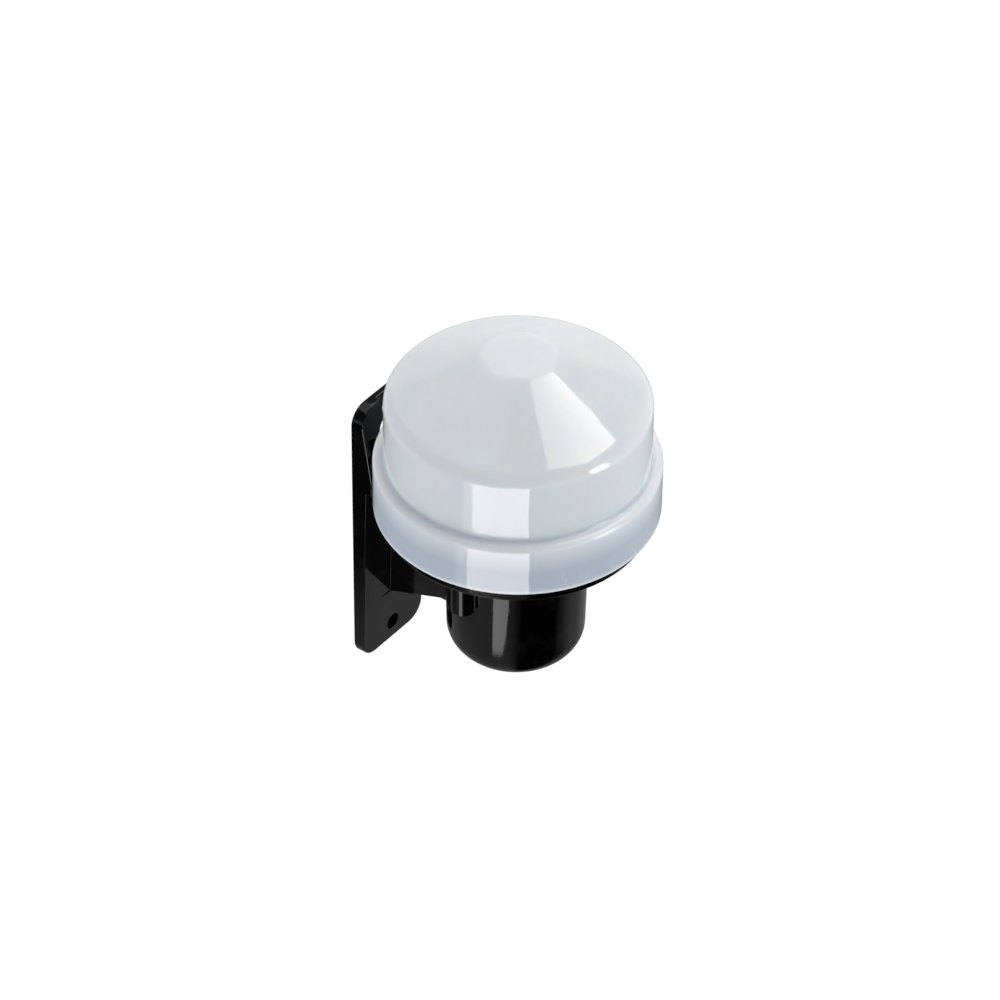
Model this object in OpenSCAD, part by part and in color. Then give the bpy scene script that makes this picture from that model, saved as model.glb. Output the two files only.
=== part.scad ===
// Wall-mounted photocell switch: an opal push-on dome over a one-piece black bracket housing,
// with the switching electronics on a round board inside.
// Wall plane is Y = 0, the object stands out towards -Y, Z is up and X = 0 is the mirror plane.

/* [Dome] */
// Outside diameter of the skirt at the foot of the dome
skirt_d = 75; // [72:0.5:90]
// Height of the shoulder above the skirt's lower edge
shoulder_h = 15.2; // [13:0.1:20]
// How far the upper wall stands in from the skirt
shoulder_in = 2.87; // [2.5:0.05:4]
// Height above the skirt's lower edge where the upper wall starts to round over
wall_top_h = 32.1; // [27:0.1:45]
// Radius of the rounded edge where it leaves the upper wall
edge_r = 3; // [2.8:0.1:6]
// Radius of the rounded edge where it runs into the cone
crown_r = 8; // [6:0.1:10]
// Slope of the cone
cone_angle = 27.8; // [15:0.1:35]
// Diameter of the flat disc on top
disc_d = 19.4; // [10:0.2:30]
// Wall thickness of the dome
dome_wall = 2; // [1.5:0.1:2.5]

/* [Housing] */
// Wall thickness of the collar that the dome slides over
collar_wall = 3.2; // [2.9:0.1:4]
// How far the drum shows below the skirt
drum_drop = 4; // [3:0.1:8]
// Thickness of the drum's floor
floor_t = 2.4; // [2:0.1:3]
// Outside diameter of the cup at the drum's floor
cup_d = 38.2; // [36:0.2:42]
// Depth of the cup below the drum's floor
cup_h = 43.5; // [36:0.5:60]
// Wall thickness of the cup
cup_wall = 2.2; // [1.8:0.1:3]
// Radius at the foot of the cup
cup_foot_r = 7.5; // [5:0.1:9]
// Draft of the cup's wall
cup_draft = 1.15; // [0.5:0.05:2.5]

/* [Bracket] */
// Width of the wall plate
plate_w = 25.5; // [23:0.1:30]
// Height of the wall plate
plate_h = 85.2; // [80:0.1:110]
// Height of the plate's top edge above the skirt's lower edge
plate_rise = 15.75; // [12:0.05:20]
// Plate thickness at its lower edge
plate_low_t = 3.1; // [2.5:0.1:4]
// Plate thickness at the foot of the side cheeks
plate_mid_t = 4.85; // [4:0.05:6]
// Plate thickness at the top edge, between the cheeks
plate_top_t = 1.75; // [1.5:0.05:2.5]
// Corner radius of the plate
plate_corner_r = 5.4; // [3:0.1:7]
// Room between the skirt and the thickest part of the plate's face
skirt_gap = 2.5; // [1.5:0.1:6]
// Depth of the side cheeks from the wall at their foot
cheek_t = 6.65; // [6:0.05:8]
// Height of the side cheeks, from their foot to the plate's top edge
cheek_h = 26; // [22:0.2:32]
// Length of the cheeks' upright front edge, above their foot
cheek_flat = 4.4; // [2:0.1:8]
// Depth of the rim from the wall at the top edge
rim_t = 3.1; // [2.6:0.05:4]
// Width of the cheeks and the rim
rim_w = 1.7; // [1.4:0.1:2.4]
// Thickness of the web between cup and plate
web_t = 3.4; // [2.6:0.1:5]
// Height of the web's lower edge above the cup's foot, at the cup
web_rise = 2.3; // [1.5:0.1:6]
// How far the web's lower edge falls towards the plate
web_fall = 7.4; // [3:0.1:10]
// Length of the level stretch of the web's lower edge beside the cup
web_level = 4.9; // [2:0.1:9]

/* [Fixing] */
// Diameter of the lower fixing hole
hole_d = 4.5; // [4:0.1:6]
// Height of the lower fixing hole above the plate's lower edge
hole_up = 5.5; // [4.5:0.1:8]
// Width of the keyhole's narrow part, behind the dome
key_w = 4.5; // [4:0.1:5.5]
// Distance of the keyhole's hanging screw from the plate's top edge
key_drop = 4.9; // [4.5:0.1:8]
// Diameter of the keyhole's wide part, which the screw's head goes through
key_d = 9; // [8.5:0.1:10]
// Distance from the wide part's centre up to the hanging screw
key_travel = 7; // [6:0.1:7.5]
// Width of the notch for the screw's head in the top rim
notch_w = 7.8; // [7:0.1:11]
// Diameter of the cable that the grommet takes
cable_d = 7.2; // [6:0.1:8.5]

/* [Bosses] */
// Diameter of the two screw bosses on the cup
boss_d = 6.5; // [6:0.1:8]
// Length of the bosses below the drum's floor
boss_h = 20.4; // [14:0.1:28]
// How far the boss centres stand out from the cup's wall
boss_out = 1.3; // [1:0.05:1.8]
// Angle of the bosses from the mirror plane's side direction, towards the wall
boss_angle = 6; // [0:0.5:10]
// Shank diameter of the board screws
screw_d = 2.8; // [2.2:0.1:3]
// Length of the board screws under the head
screw_l = 16; // [10:0.5:20]

/* [Board] */
// Thickness of the circuit board
board_t = 1.6; // [1:0.1:2]
// Height of the board's seats above the drum's floor
seat_h = 2.6; // [2:0.1:4]
// Room between the board's rim and the collar
board_gap = 1.5; // [0.8:0.1:2]
// Diameter of the seal ring's section
seal_d = 2; // [1.6:0.1:2.2]
// Height of the light sensor above the board
sensor_h = 24; // [16:0.5:28]
// Length, depth and height of the relay
relay_size = [18.4, 10.2, 15.3];
// Length, depth and height of the mains dropper capacitor
dropper_size = [18, 8.5, 15];
// Depth and height of the terminal block
terminal_size = [8, 10.2];
// Distance between neighbouring terminals
terminal_pitch = 5.08; // [5:0.02:5.3]
// Side and height of the trimmer's body
trimmer_size = [9.5, 4.8];
// Diameter of the trimmer's dial
dial_d = 6.6; // [5:0.1:8]

/* [Hidden] */

// Fineness of round shapes
$fn = 96;
// Small overlap that keeps joined shapes one solid
lap = 0.4;
// Room of a sliding or seated fit, on a side
slip = 0.15;

// Dome values, heights above the skirt's lower edge
skirt_r = skirt_d / 2;
skirt_in_r = skirt_r - dome_wall;
upper_r = skirt_r - shoulder_in;
disc_r = disc_d / 2;
lip_r = 0.5;
shoulder_r = 1.8;
shoulder_flat = 0.07;
cove_r = shoulder_in - shoulder_r - shoulder_flat;
tip_r = 5;
edge_x = upper_r - edge_r;
edge_split = 35;
crown_from = 90 - cone_angle;
crown_step = (crown_from - edge_split) / 6;
crown_x = edge_x + (edge_r - crown_r) * cos(edge_split);
crown_z = wall_top_h + (edge_r - crown_r) * sin(edge_split);
disc_z = crown_z + (sin(cone_angle) * (crown_x - disc_r) + crown_r) / cos(cone_angle);
pocket_h = shoulder_h - dome_wall;

// Housing values, heights above the skirt's lower edge
collar_gap = 0.3;
collar_r = skirt_in_r - collar_gap;
collar_in_r = collar_r - collar_wall;
drum_edge_r = 0.6;
floor_top = floor_t - drum_drop;
cup_r = cup_d / 2;
cup_foot = -drum_drop - cup_h;
cup_slope = tan(cup_draft);
seal_z = pocket_h / 2;
seal_in_r = skirt_in_r - slip - seal_d;
seal_play = 0.05;
groove_r = seal_in_r - seal_play;
groove_w = seal_d + 2 * slip;

// Places of the plate and of the dome's axis
axis_y = -(skirt_r + skirt_gap + plate_mid_t);
skirt_z = plate_h / 2 - plate_rise;
cheek_foot_z = plate_h / 2 - cheek_h;
cheek_bend_z = cheek_foot_z + cheek_flat;
hole_z = hole_up - plate_h / 2;
key_z = plate_h / 2 - key_drop;
plate_lean = atan((plate_mid_t - plate_low_t) / (cheek_foot_z + plate_h / 2));
web_flare_r = 0.4;
web_skirt_gap = 1.2;

// Places of the bosses round the dome's axis
boss_r = cup_r + boss_out;
boss_x = boss_r * cos(boss_angle);
boss_y = boss_r * sin(boss_angle);
boss_foot = -drum_drop - boss_h;
seat_r = 2;
seat_ring_r = (cup_r + collar_in_r) / 2;

// Board values, heights above the skirt's lower edge
board_r = collar_in_r - board_gap;
board_low = floor_top + seat_h;
board_top = board_low + board_t;
cable_slot = [14, 5.5];
cable_slot_r = 1;
cable_slot_y = -11.5;

// Grommet values
grommet_wall = 3;
grommet_lip_w = 2;
grommet_neck_r = cable_d / 2 + grommet_wall;
grommet_lip_r = grommet_neck_r + grommet_lip_w;
grommet_lip_t = 1.6;
grommet_nose_h = 2.4;
grommet_nose_w = 1.4;
grommet_chamfer = 0.8;
grommet_play = 0.05;

// Screw values
head_d = screw_d * 2;
head_h = screw_d * 0.75;

// Sensor values
sensor_d = 5.1;
sensor_t = 2.1;
sensor_sink = 1.2;
sensor_lead_x = 1.7;
sensor_lead_d = 0.5;
post_lead_room = 0.5;
post_bore_r = sensor_lead_x + post_lead_room;
post_r = 4.2;
post_taper = 0.3;
post_foot_r = 6;
post_foot_t = 1.2;
post_foot_cone = 1;
post_bore_flare = 0.4;

// Tall parts in a row behind the sensor, with a can behind them
row_y = 10;
row_gap = 2.2;
relay_edge_r = 0.8;
relay_lid = 0.5;
dropper_edge_r = 1;
dropper_lid = 0.6;
smoothing_can = [6.3, 11];
smoothing_gap = 0.6;

// Cans: rolled edges, crimped neck and sunk vent
can_edge_r = 0.6;
can_foot_r = 0.3;
can_crimp_z = 1.6;
can_crimp_r = 0.6;
can_crimp_in = 0.15;
can_vent_rim = 1;
can_vent_in = 0.15;
delay_can = [5, 11];
delay_gap = 2.3;
delay_set_back = 2.6;

// Small parts with wire leads, in two columns beside the sensor
lead_d = 0.7;
column_first_y = 7.6;
part_pitch = 3;
part_count = 4;
lead_part_edge = 0.2;
diode_row_x = -11.2;
diode_size = [2.5, 4.6];
diode_span = 7.4;
diode_up = 1.6;
zener_size = [1.9, 3.8];
zener_up = 1.3;
resistor_row_x = 11.4;
resistor_size = [2.2, 5.2];
resistor_span = 7.8;
resistor_up = 1.4;

// Power resistor standing beside the terminals
power_size = [4.4, 11];
power_edge = 0.4;
power_up = 1;
power_lead_up = 1;
power_lead_out = 1;
power_gap = 3.4;
power_set_back = 3.6;

// Driver transistor at the end of the resistors' column
transistor_r = 2.4;
transistor_flat = 1.4;
transistor_h = 4.6;
transistor_up = 1.8;
transistor_y = -4.8;
transistor_leg = 0.5;
transistor_leg_pitch = 1.27;

// Mains protection beside the screws
varistor_size = [8, 3.6];
varistor_edge_r = 1;
varistor_up = 1.2;
varistor_lead_y = 2.5;
varistor_out = 3.6;
varistor_y = -6.8;
fuse_size = [8, 7.6];
fuse_foot = [0.5, 1];
fuse_edge = 0.8;
fuse_out = 2.8;
fuse_y = -6.6;

// Controller chip
chip_at = [-14.2, -12.2];
chip_size = [9.4, 6.3, 3.3];
chip_up = 0.6;
chip_mark = [1.8, 0.5];
chip_legs = 4;
chip_leg_w = 0.8;
chip_leg_out = 0.15;
chip_leg_h = 2.2;
chip_leg_pitch = 2.54;

// Terminal values
poles = 3;
terminal_y = -17.5;
terminal_wall = 1;
clamp_wall = 0.8;
clamp_gap = 0.1;
clamp_set_back = 1;
clamp_roof = 1.6;
terminal_lean = 1.2;
terminal_shoulder = 3;
screw_room = 4.2;
terminal_w = poles * terminal_pitch;
cage_w = terminal_pitch - terminal_wall;
cage_l = terminal_size[0] - terminal_wall;
cage_h = terminal_size[1] - screw_room;
clamp_screw_d = 2.5;
clamp_screw_l = 2.6;
clamp_head_d = 3.6;
clamp_head_h = 2;
driver_slot_w = 0.7;
driver_slot_depth = 0.9;

// Trimmer values
trimmer_x = 15;
trimmer_y = -13;
trimmer_edge_r = 0.6;
trimmer_floor = 1;
dial_t = 1.6;
dial_shaft_d = 2.4;
dial_shaft_play = 0.05;
dial_shaft_gap = 0.5;
dial_lift = 0.1;
dial_slot = [1, 5, 0.9];
dial_notch_d = 1;

// Points of an arc from one angle to another
function arc(c, r, a0, a1, n = 8) =
    [for (i = [0:n]) let (a = a0 + (a1 - a0) * i / n) [c[0] + r * cos(a), c[1] + r * sin(a)]];

// Moves shapes from the dome's own axis to their place in front of the wall
module on_axis() {
    translate([0, axis_y, skirt_z]) children();
}

// Rectangle with true round corners, centred
module round_rect(w, h, r) {
    square([w - 2 * r, h], center = true);
    square([w, h - 2 * r], center = true);
    for (sx = [-1, 1]) for (sy = [-1, 1])
        translate([sx * (w / 2 - r), sy * (h / 2 - r)]) circle(r);
}

// Extrudes a side view, drawn as depth from the wall and height, across the mirror plane
module across(w) {
    translate([w / 2, 0, 0]) rotate([90, 0, -90]) linear_extrude(w) children();
}

// Outline of the dome's outside, from the skirt's lower edge to the top
function dome_outside() = concat(
    arc([skirt_r - lip_r, lip_r], lip_r, -90, 0, 4),
    arc([skirt_r - shoulder_r, shoulder_h - shoulder_r], shoulder_r, 0, 90, 6),
    arc([upper_r + cove_r, shoulder_h + cove_r], cove_r, 270, 180, 8),
    arc([edge_x, wall_top_h], edge_r, 0, edge_split, 7),
    arc([crown_x, crown_z], crown_r, edge_split + crown_step, crown_from, 5),
    arc([disc_r - tip_r * tan(cone_angle / 2), disc_z - tip_r], tip_r, crown_from, 90, 6),
    [[0, disc_z]]
);

// Outline of the dome's inside, from the top to the skirt's lower edge
function dome_inside() = concat(
    [[0, disc_z - dome_wall]],
    [[disc_r - dome_wall * tan(cone_angle / 2), disc_z - dome_wall]],
    arc([crown_x, crown_z], crown_r - dome_wall, crown_from, edge_split + crown_step, 4),
    arc([edge_x, wall_top_h], edge_r - dome_wall, edge_split, 0, 4),
    [[upper_r - dome_wall, pocket_h], [skirt_in_r, pocket_h], [skirt_in_r, 0]]
);

// Opal dome, one moulding, open below
module dome_cover() {
    color("#d9dde0") on_axis()
        rotate_extrude() polygon(concat(dome_outside(), dome_inside()));
}

// Outside of drum and cup as one turned outline, with the groove for the seal
module drum_and_cup() {
    foot_x = cup_r - (cup_h - cup_foot_r) * cup_slope - cup_foot_r / cos(cup_draft);
    rotate_extrude() polygon(concat(
        [[0, cup_foot]],
        arc([foot_x, cup_foot + cup_foot_r], cup_foot_r, -90, -cup_draft, 12),
        [[cup_r, -drum_drop]],
        arc([collar_r - drum_edge_r, drum_edge_r - drum_drop], drum_edge_r, -90, 0, 4),
        [[collar_r, seal_z - groove_w / 2], [groove_r, seal_z - groove_w / 2]],
        [[groove_r, seal_z + groove_w / 2], [collar_r, seal_z + groove_w / 2]],
        [[collar_r, pocket_h], [0, pocket_h]]
    ));
}

// Hollow of the drum and the cup
module housing_hollow() {
    inner_r = cup_r - cup_wall;
    foot_r = max(cup_foot_r - cup_wall, 1);
    floor_z = cup_foot + cup_wall;
    foot_x = inner_r - (-drum_drop - floor_z - foot_r) * cup_slope - foot_r / cos(cup_draft);
    rotate_extrude() polygon(concat(
        [[0, floor_z]],
        arc([foot_x, floor_z + foot_r], foot_r, -90, -cup_draft, 8),
        [[inner_r, -drum_drop], [inner_r, floor_top], [collar_in_r, floor_top]],
        [[collar_in_r, pocket_h + lap], [0, pocket_h + lap]]
    ));
}

// Wall plate: thickest at the cheeks' foot, thinning upwards and downwards, with a raised rim above
module wall_plate() {
    low = -plate_h / 2;
    top = plate_h / 2;
    rim_top = top - rim_w;
    intersection() {
        rotate([90, 0, 0]) linear_extrude(cheek_t) round_rect(plate_w, plate_h, plate_corner_r);
        difference() {
            across(plate_w) polygon([
                [0, low], [plate_low_t, low], [plate_mid_t, cheek_foot_z], [cheek_t, cheek_foot_z],
                [cheek_t, cheek_bend_z], [rim_t, top], [0, top]
            ]);
            tray_top_t = plate_top_t + (plate_mid_t - plate_top_t) * rim_w / (top - cheek_foot_z);
            across(plate_w - 2 * rim_w) polygon([
                [plate_mid_t, cheek_foot_z], [tray_top_t, rim_top], [cheek_t + lap, rim_top],
                [cheek_t + lap, cheek_foot_z - lap], [plate_mid_t, cheek_foot_z - lap]
            ]);
            across(notch_w) polygon([
                [tray_top_t, rim_top - lap], [plate_top_t, top + lap],
                [cheek_t, top + lap], [cheek_t, rim_top - lap]
            ]);
        }
    }
}

// Hole near the plate's lower edge and the keyhole behind the dome
module plate_holes() {
    reach = cheek_t + 2 * lap;
    wide_z = key_z - key_travel;
    translate([0, lap, hole_z]) rotate([90, 0, 0]) cylinder(d = hole_d, h = reach);
    translate([0, lap, key_z]) rotate([90, 0, 0]) cylinder(d = key_w, h = reach);
    translate([0, lap, wide_z]) rotate([90, 0, 0]) cylinder(d = key_d, h = reach);
    translate([-key_w / 2, lap - reach, wide_z]) cube([key_w, reach, key_travel]);
}

// Upright web from the cup to the plate, flared where it meets the plate
module web() {
    drum_foot = skirt_z - drum_drop;
    web_top = skirt_z - web_skirt_gap;
    cup_end = -axis_y - cup_r + cup_wall;
    cup_low = skirt_z + cup_foot + web_rise;
    bend = -axis_y - cup_r - web_level;
    intersection() {
        across(web_t + 2 * web_flare_r) polygon([
            [plate_low_t / 2, cup_low - web_fall], [bend, cup_low], [cup_end, cup_low],
            [cup_end, drum_foot + lap], [-axis_y - collar_r + lap, drum_foot + lap],
            [-axis_y - collar_r + lap, web_top], [plate_low_t / 2, web_top]
        ]);
        union() {
            translate([-web_t / 2, -cup_end, -plate_h]) cube([web_t, cup_end, 2 * plate_h]);
            translate([0, -plate_mid_t, cheek_foot_z]) rotate([plate_lean, 0, 0]) web_flare();
        }
    }
}

// Foot of the web with a hollow fillet on each side, running down the plate's leaning face
module web_flare() {
    foot_w = web_t + 2 * web_flare_r;
    translate([0, 0, -plate_h]) linear_extrude(2 * plate_h) difference() {
        translate([-foot_w / 2, -web_flare_r]) square([foot_w, plate_low_t / 2 + web_flare_r]);
        for (side = [-1, 1])
            translate([side * foot_w / 2, -web_flare_r]) circle(web_flare_r);
    }
}

// The two bosses that the board screws go into, from under the board to their foot below the drum
module bosses() {
    for (side = [-1, 1])
        translate([side * boss_x, boss_y, boss_foot]) cylinder(d = boss_d, h = board_low - boss_foot);
}

// Black housing, one moulding: drum, cup, bosses, web and wall plate
module base_housing() {
    color("#1a1a1c") difference() {
        union() {
            difference() {
                union() {
                    on_axis() drum_and_cup();
                    web();
                    wall_plate();
                }
                on_axis() housing_hollow();
            }
            on_axis() {
                bosses();
                for (end = [-1, 1])
                    translate([0, end * seat_ring_r, floor_top - lap]) cylinder(r = seat_r, h = seat_h + lap);
            }
        }
        plate_holes();
        on_axis() {
            for (side = [-1, 1])
                translate([side * boss_x, boss_y, board_low - screw_l])
                    cylinder(d = screw_d + slip, h = screw_l + lap);
            translate([0, 0, cup_foot - lap])
                cylinder(r = grommet_neck_r + grommet_play, h = cup_wall + 2 * lap);
        }
    }
}

// Rubber ring in the collar's groove
module dome_seal() {
    color("#2b2b2d") on_axis() translate([0, 0, seal_z])
        rotate_extrude() translate([seal_in_r + seal_d / 2, 0]) circle(d = seal_d);
}

// Rubber grommet in the cup's foot, gripping its floor
module cable_grommet() {
    low_z = cup_foot;
    high_z = cup_foot + cup_wall;
    color("#303033") on_axis() rotate_extrude() polygon([
        [cable_d / 2, low_z - grommet_nose_h], [cable_d / 2 + grommet_nose_w, low_z - grommet_nose_h],
        [grommet_lip_r, low_z - grommet_lip_t], [grommet_lip_r, low_z], [grommet_neck_r, low_z],
        [grommet_neck_r, high_z], [grommet_lip_r, high_z],
        [grommet_lip_r - grommet_chamfer, high_z + grommet_lip_t], [cable_d / 2, high_z + grommet_lip_t]
    ]);
}

// Round board on the bosses, with a slot where the cable comes up from the cup
module circuit_board() {
    color("#2f6b3c") on_axis() translate([0, 0, board_low]) difference() {
        cylinder(r = board_r, h = board_t);
        for (side = [-1, 1])
            translate([side * boss_x, boss_y, -lap]) cylinder(d = screw_d + 2 * slip, h = board_t + 2 * lap);
        translate([0, cable_slot_y, -lap])
            linear_extrude(board_t + 2 * lap) round_rect(cable_slot[0], cable_slot[1], cable_slot_r);
    }
}

// Pan-head screw with a cross recess, head seated at the origin
module pan_screw(d, l, head_d, head_h) {
    recess = [head_d * 0.6, head_d * 0.14, head_h * 0.6];
    difference() {
        union() {
            translate([0, 0, -l]) cylinder(d = d, h = l + lap);
            rotate_extrude() polygon(concat(
                [[0, 0], [head_d / 2, 0]],
                arc([head_d / 2 - head_h * 0.6, head_h * 0.4], head_h * 0.6, 0, 90, 6),
                [[0, head_h]]
            ));
        }
        for (turn = [0, 90])
            rotate(turn) translate([-recess[0] / 2, -recess[1] / 2, head_h - recess[2]]) cube(recess);
    }
}

// The two screws that hold the board
module board_screws() {
    color("#b9bcbf") on_axis() for (side = [-1, 1])
        translate([side * boss_x, boss_y, board_top])
            pan_screw(screw_d, screw_l - board_t - slip, head_d, head_h);
}

// Everything on the board stands on its top face
module on_board() {
    on_axis() translate([0, 0, board_top]) children();
}

// Tube that lifts the light sensor up under the dome
module sensor_post() {
    color("#e8e6df") on_board() rotate_extrude() polygon([
        [post_bore_r + post_bore_flare, 0], [post_foot_r, 0], [post_foot_r, post_foot_t],
        [post_r, post_foot_t + post_foot_cone], [post_r - post_taper, sensor_h],
        [sensor_d / 2 + slip, sensor_h], [sensor_d / 2 + slip, sensor_h - sensor_sink],
        [post_bore_r, sensor_h - sensor_sink], [post_bore_r, post_foot_t]
    ]);
}

// Round light-dependent resistor with two leads down to the board
module light_sensor() {
    face_z = sensor_h - sensor_sink;
    color("#c98a3a") on_board() {
        translate([0, 0, face_z]) cylinder(d = sensor_d, h = sensor_t);
        for (side = [-1, 1])
            translate([side * sensor_lead_x, 0, 0]) cylinder(d = sensor_lead_d, h = face_z + lap);
    }
}

// Box-shaped part with round upright edges and a shallow lid, standing on the board
module potted_case(size, r, lid) {
    linear_extrude(size[2] - lid) round_rect(size[0], size[1], r);
    translate([0, 0, size[2] - lid - lap])
        linear_extrude(lid + lap) round_rect(size[0] - 2 * lid, size[1] - 2 * lid, r);
}

// Sealed relay
module relay() {
    color("#2d5fa8") on_board()
        translate([(row_gap + relay_size[0]) / 2, row_y + relay_size[1] / 2, 0])
            potted_case(relay_size, relay_edge_r, relay_lid);
}

// Film capacitor that drops the mains voltage
module dropper_capacitor() {
    color("#d9c23a") on_board()
        translate([-(row_gap + dropper_size[0]) / 2, row_y + dropper_size[1] / 2, 0])
            potted_case(dropper_size, dropper_edge_r, dropper_lid);
}

// Electrolytic can with a crimped neck, a rolled upper edge and a sunk vent
module can_capacitor(can) {
    r = can[0] / 2;
    h = can[1];
    crimp_x = r + can_crimp_r - can_crimp_in;
    crimp_angle = acos(1 - can_crimp_in / can_crimp_r);
    rotate_extrude() polygon(concat(
        [[0, 0], [r - can_foot_r, 0], [r, can_foot_r]],
        arc([crimp_x, can_crimp_z], can_crimp_r, 180 + crimp_angle, 180 - crimp_angle, 6),
        arc([r - can_edge_r, h - can_edge_r], can_edge_r, 0, 90, 5),
        [[r - can_vent_rim, h], [r - can_vent_rim - can_vent_in, h - can_vent_in], [0, h - can_vent_in]]
    ));
}

// Can that smooths the low-voltage supply
module smoothing_capacitor() {
    row_back_y = row_y + max(relay_size[1], dropper_size[1]);
    color("#24365f") on_board()
        translate([0, row_back_y + smoothing_gap + smoothing_can[0] / 2, 0]) can_capacitor(smoothing_can);
}

// Can that sets the switching delay
module delay_capacitor() {
    color("#2a2a30") on_board()
        translate([-(terminal_w + delay_can[0]) / 2 - delay_gap, terminal_y - delay_set_back, 0])
            can_capacitor(delay_can);
}

// Places the shapes at each terminal
module each_pole() {
    for (i = [0:poles - 1])
        translate([(i - (poles - 1) / 2) * terminal_pitch, terminal_y, 0]) children();
}

// Terminal block, wire entries facing the cable slot
module terminal_block() {
    depth = terminal_size[0];
    height = terminal_size[1];
    side_h = height - terminal_shoulder;
    color("#3c8a4c") on_board() difference() {
        translate([terminal_w / 2, terminal_y - depth, 0]) rotate([90, 0, -90]) linear_extrude(terminal_w)
            polygon([
                [0, 0], [0, side_h], [-terminal_lean, height],
                [terminal_lean - depth, height], [-depth, side_h], [-depth, 0]
            ]);
        each_pole() {
            translate([-cage_w / 2, -cage_l, terminal_wall]) cube([cage_w, cage_l + lap, cage_h]);
            translate([0, -cage_l / 2, terminal_wall]) cylinder(d = clamp_head_d + 2 * slip, h = height);
        }
    }
}

// Brass clamp cages, one in each terminal
module terminal_clamps() {
    w = cage_w - 2 * clamp_gap;
    l = cage_l - clamp_set_back;
    h = cage_h - clamp_gap;
    color("#c9a24a") on_board() each_pole()
        translate([0, -cage_l / 2, terminal_wall]) difference() {
            translate([-w / 2, -l / 2, 0]) cube([w, l, h]);
            translate([-w / 2 + clamp_wall, -l / 2 - lap, clamp_wall])
                cube([w - 2 * clamp_wall, l + 2 * lap, h - clamp_wall - clamp_roof]);
            cylinder(d = clamp_screw_d + clamp_gap, h = h + lap);
        }
}

// Clamp screws, one in each terminal
module terminal_screws() {
    seat = terminal_wall + cage_h - clamp_gap;
    color("#c3c6c8") on_board() each_pole()
        translate([0, -cage_l / 2, seat]) difference() {
            union() {
                translate([0, 0, -clamp_screw_l]) cylinder(d = clamp_screw_d, h = clamp_screw_l + lap);
                cylinder(d = clamp_head_d, h = clamp_head_h);
            }
            translate([-clamp_head_d, -driver_slot_w / 2, clamp_head_h - driver_slot_depth])
                cube([2 * clamp_head_d, driver_slot_w, driver_slot_depth + lap]);
        }
}

// Body of the threshold trimmer, bored for the dial's shaft
module trimmer_body() {
    side = trimmer_size[0];
    color("#2f62b5") on_board() translate([trimmer_x, trimmer_y, 0]) difference() {
        linear_extrude(trimmer_size[1]) round_rect(side, side, trimmer_edge_r);
        translate([0, 0, trimmer_floor])
            cylinder(d = dial_shaft_d + 2 * dial_shaft_play, h = trimmer_size[1]);
    }
}

// Slotted dial of the threshold trimmer, with a pointer notch
module trimmer_dial() {
    shaft_l = trimmer_size[1] - trimmer_floor - dial_shaft_gap;
    color("#e9e7e2") on_board() translate([trimmer_x, trimmer_y, trimmer_size[1] + dial_lift]) difference() {
        union() {
            cylinder(d = dial_d, h = dial_t);
            translate([0, 0, -shaft_l]) cylinder(d = dial_shaft_d, h = shaft_l + lap);
        }
        translate([-dial_slot[0] / 2, -dial_slot[1] / 2, dial_t - dial_slot[2]])
            cube(dial_slot + [0, 0, lap]);
        translate([0, dial_d / 2, -lap]) cylinder(d = dial_notch_d, h = dial_t + 2 * lap);
    }
}

// Eight-leg controller chip
module controller_chip() {
    top = chip_up + chip_size[2];
    leg_y = chip_size[1] / 2 + chip_leg_out;
    color("#26272a") on_board() translate([chip_at[0], chip_at[1], 0]) {
        difference() {
            translate([-chip_size[0] / 2, -chip_size[1] / 2, chip_up]) cube(chip_size);
            translate([chip_size[0] / 2, 0, top - chip_mark[1]])
                cylinder(d = chip_mark[0], h = chip_mark[1] + lap);
        }
        for (i = [0:chip_legs - 1]) for (side = [-1, 1])
            translate([(i - (chip_legs - 1) / 2) * chip_leg_pitch, side * leg_y, chip_leg_h / 2])
                cube([chip_leg_w, chip_leg_w, chip_leg_h], center = true);
    }
}

// Rod along Z with both end edges cut off, size gives diameter and length
module chamfered_rod(size, edge) {
    r = size[0] / 2;
    l = size[1];
    rotate_extrude() polygon([[0, 0], [r - edge, 0], [r, edge], [r, l - edge], [r - edge, l], [0, l]]);
}

// Part with a wire lead at each end, bent down to the board, lying along X
module axial_part(size, span, height) {
    translate([-size[1] / 2, 0, height]) rotate([0, 90, 0]) chamfered_rod(size, lead_part_edge);
    translate([-span / 2, 0, height]) rotate([0, 90, 0]) cylinder(d = lead_d, h = span);
    for (end = [-1, 1]) translate([end * span / 2, 0, 0]) {
        cylinder(d = lead_d, h = height);
        translate([0, 0, height]) sphere(d = lead_d);
    }
}

// Four rectifier diodes in a row
module rectifier_diodes() {
    color("#1f1f22") on_board() for (i = [0:part_count - 1])
        translate([diode_row_x, column_first_y - i * part_pitch, 0])
            axial_part(diode_size, diode_span, diode_up);
}

// Zener diode that sets the supply voltage
module zener_diode() {
    color("#c4572f") on_board()
        translate([diode_row_x, column_first_y - part_count * part_pitch, 0])
            axial_part(zener_size, diode_span, zener_up);
}

// Four small resistors in a row
module resistors() {
    color("#cdb58a") on_board() for (i = [0:part_count - 1])
        translate([resistor_row_x, column_first_y - i * part_pitch, 0])
            axial_part(resistor_size, resistor_span, resistor_up);
}

// Power resistor standing on end, with its upper lead brought down beside it
module power_resistor() {
    lead_x = power_size[0] / 2 + power_lead_out;
    lead_top = power_up + power_size[1] + power_lead_up;
    power_x = (terminal_w + power_size[0]) / 2 + power_gap;
    color("#7d8f9c") on_board() translate([power_x, terminal_y - power_set_back, 0]) {
        translate([0, 0, power_up]) chamfered_rod(power_size, power_edge);
        translate([0, 0, lead_top]) rotate([0, 90, 0]) cylinder(d = lead_d, h = lead_x);
        for (x = [0, lead_x]) translate([x, 0, 0]) {
            cylinder(d = lead_d, h = lead_top);
            translate([0, 0, lead_top]) sphere(d = lead_d);
        }
    }
}

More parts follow.
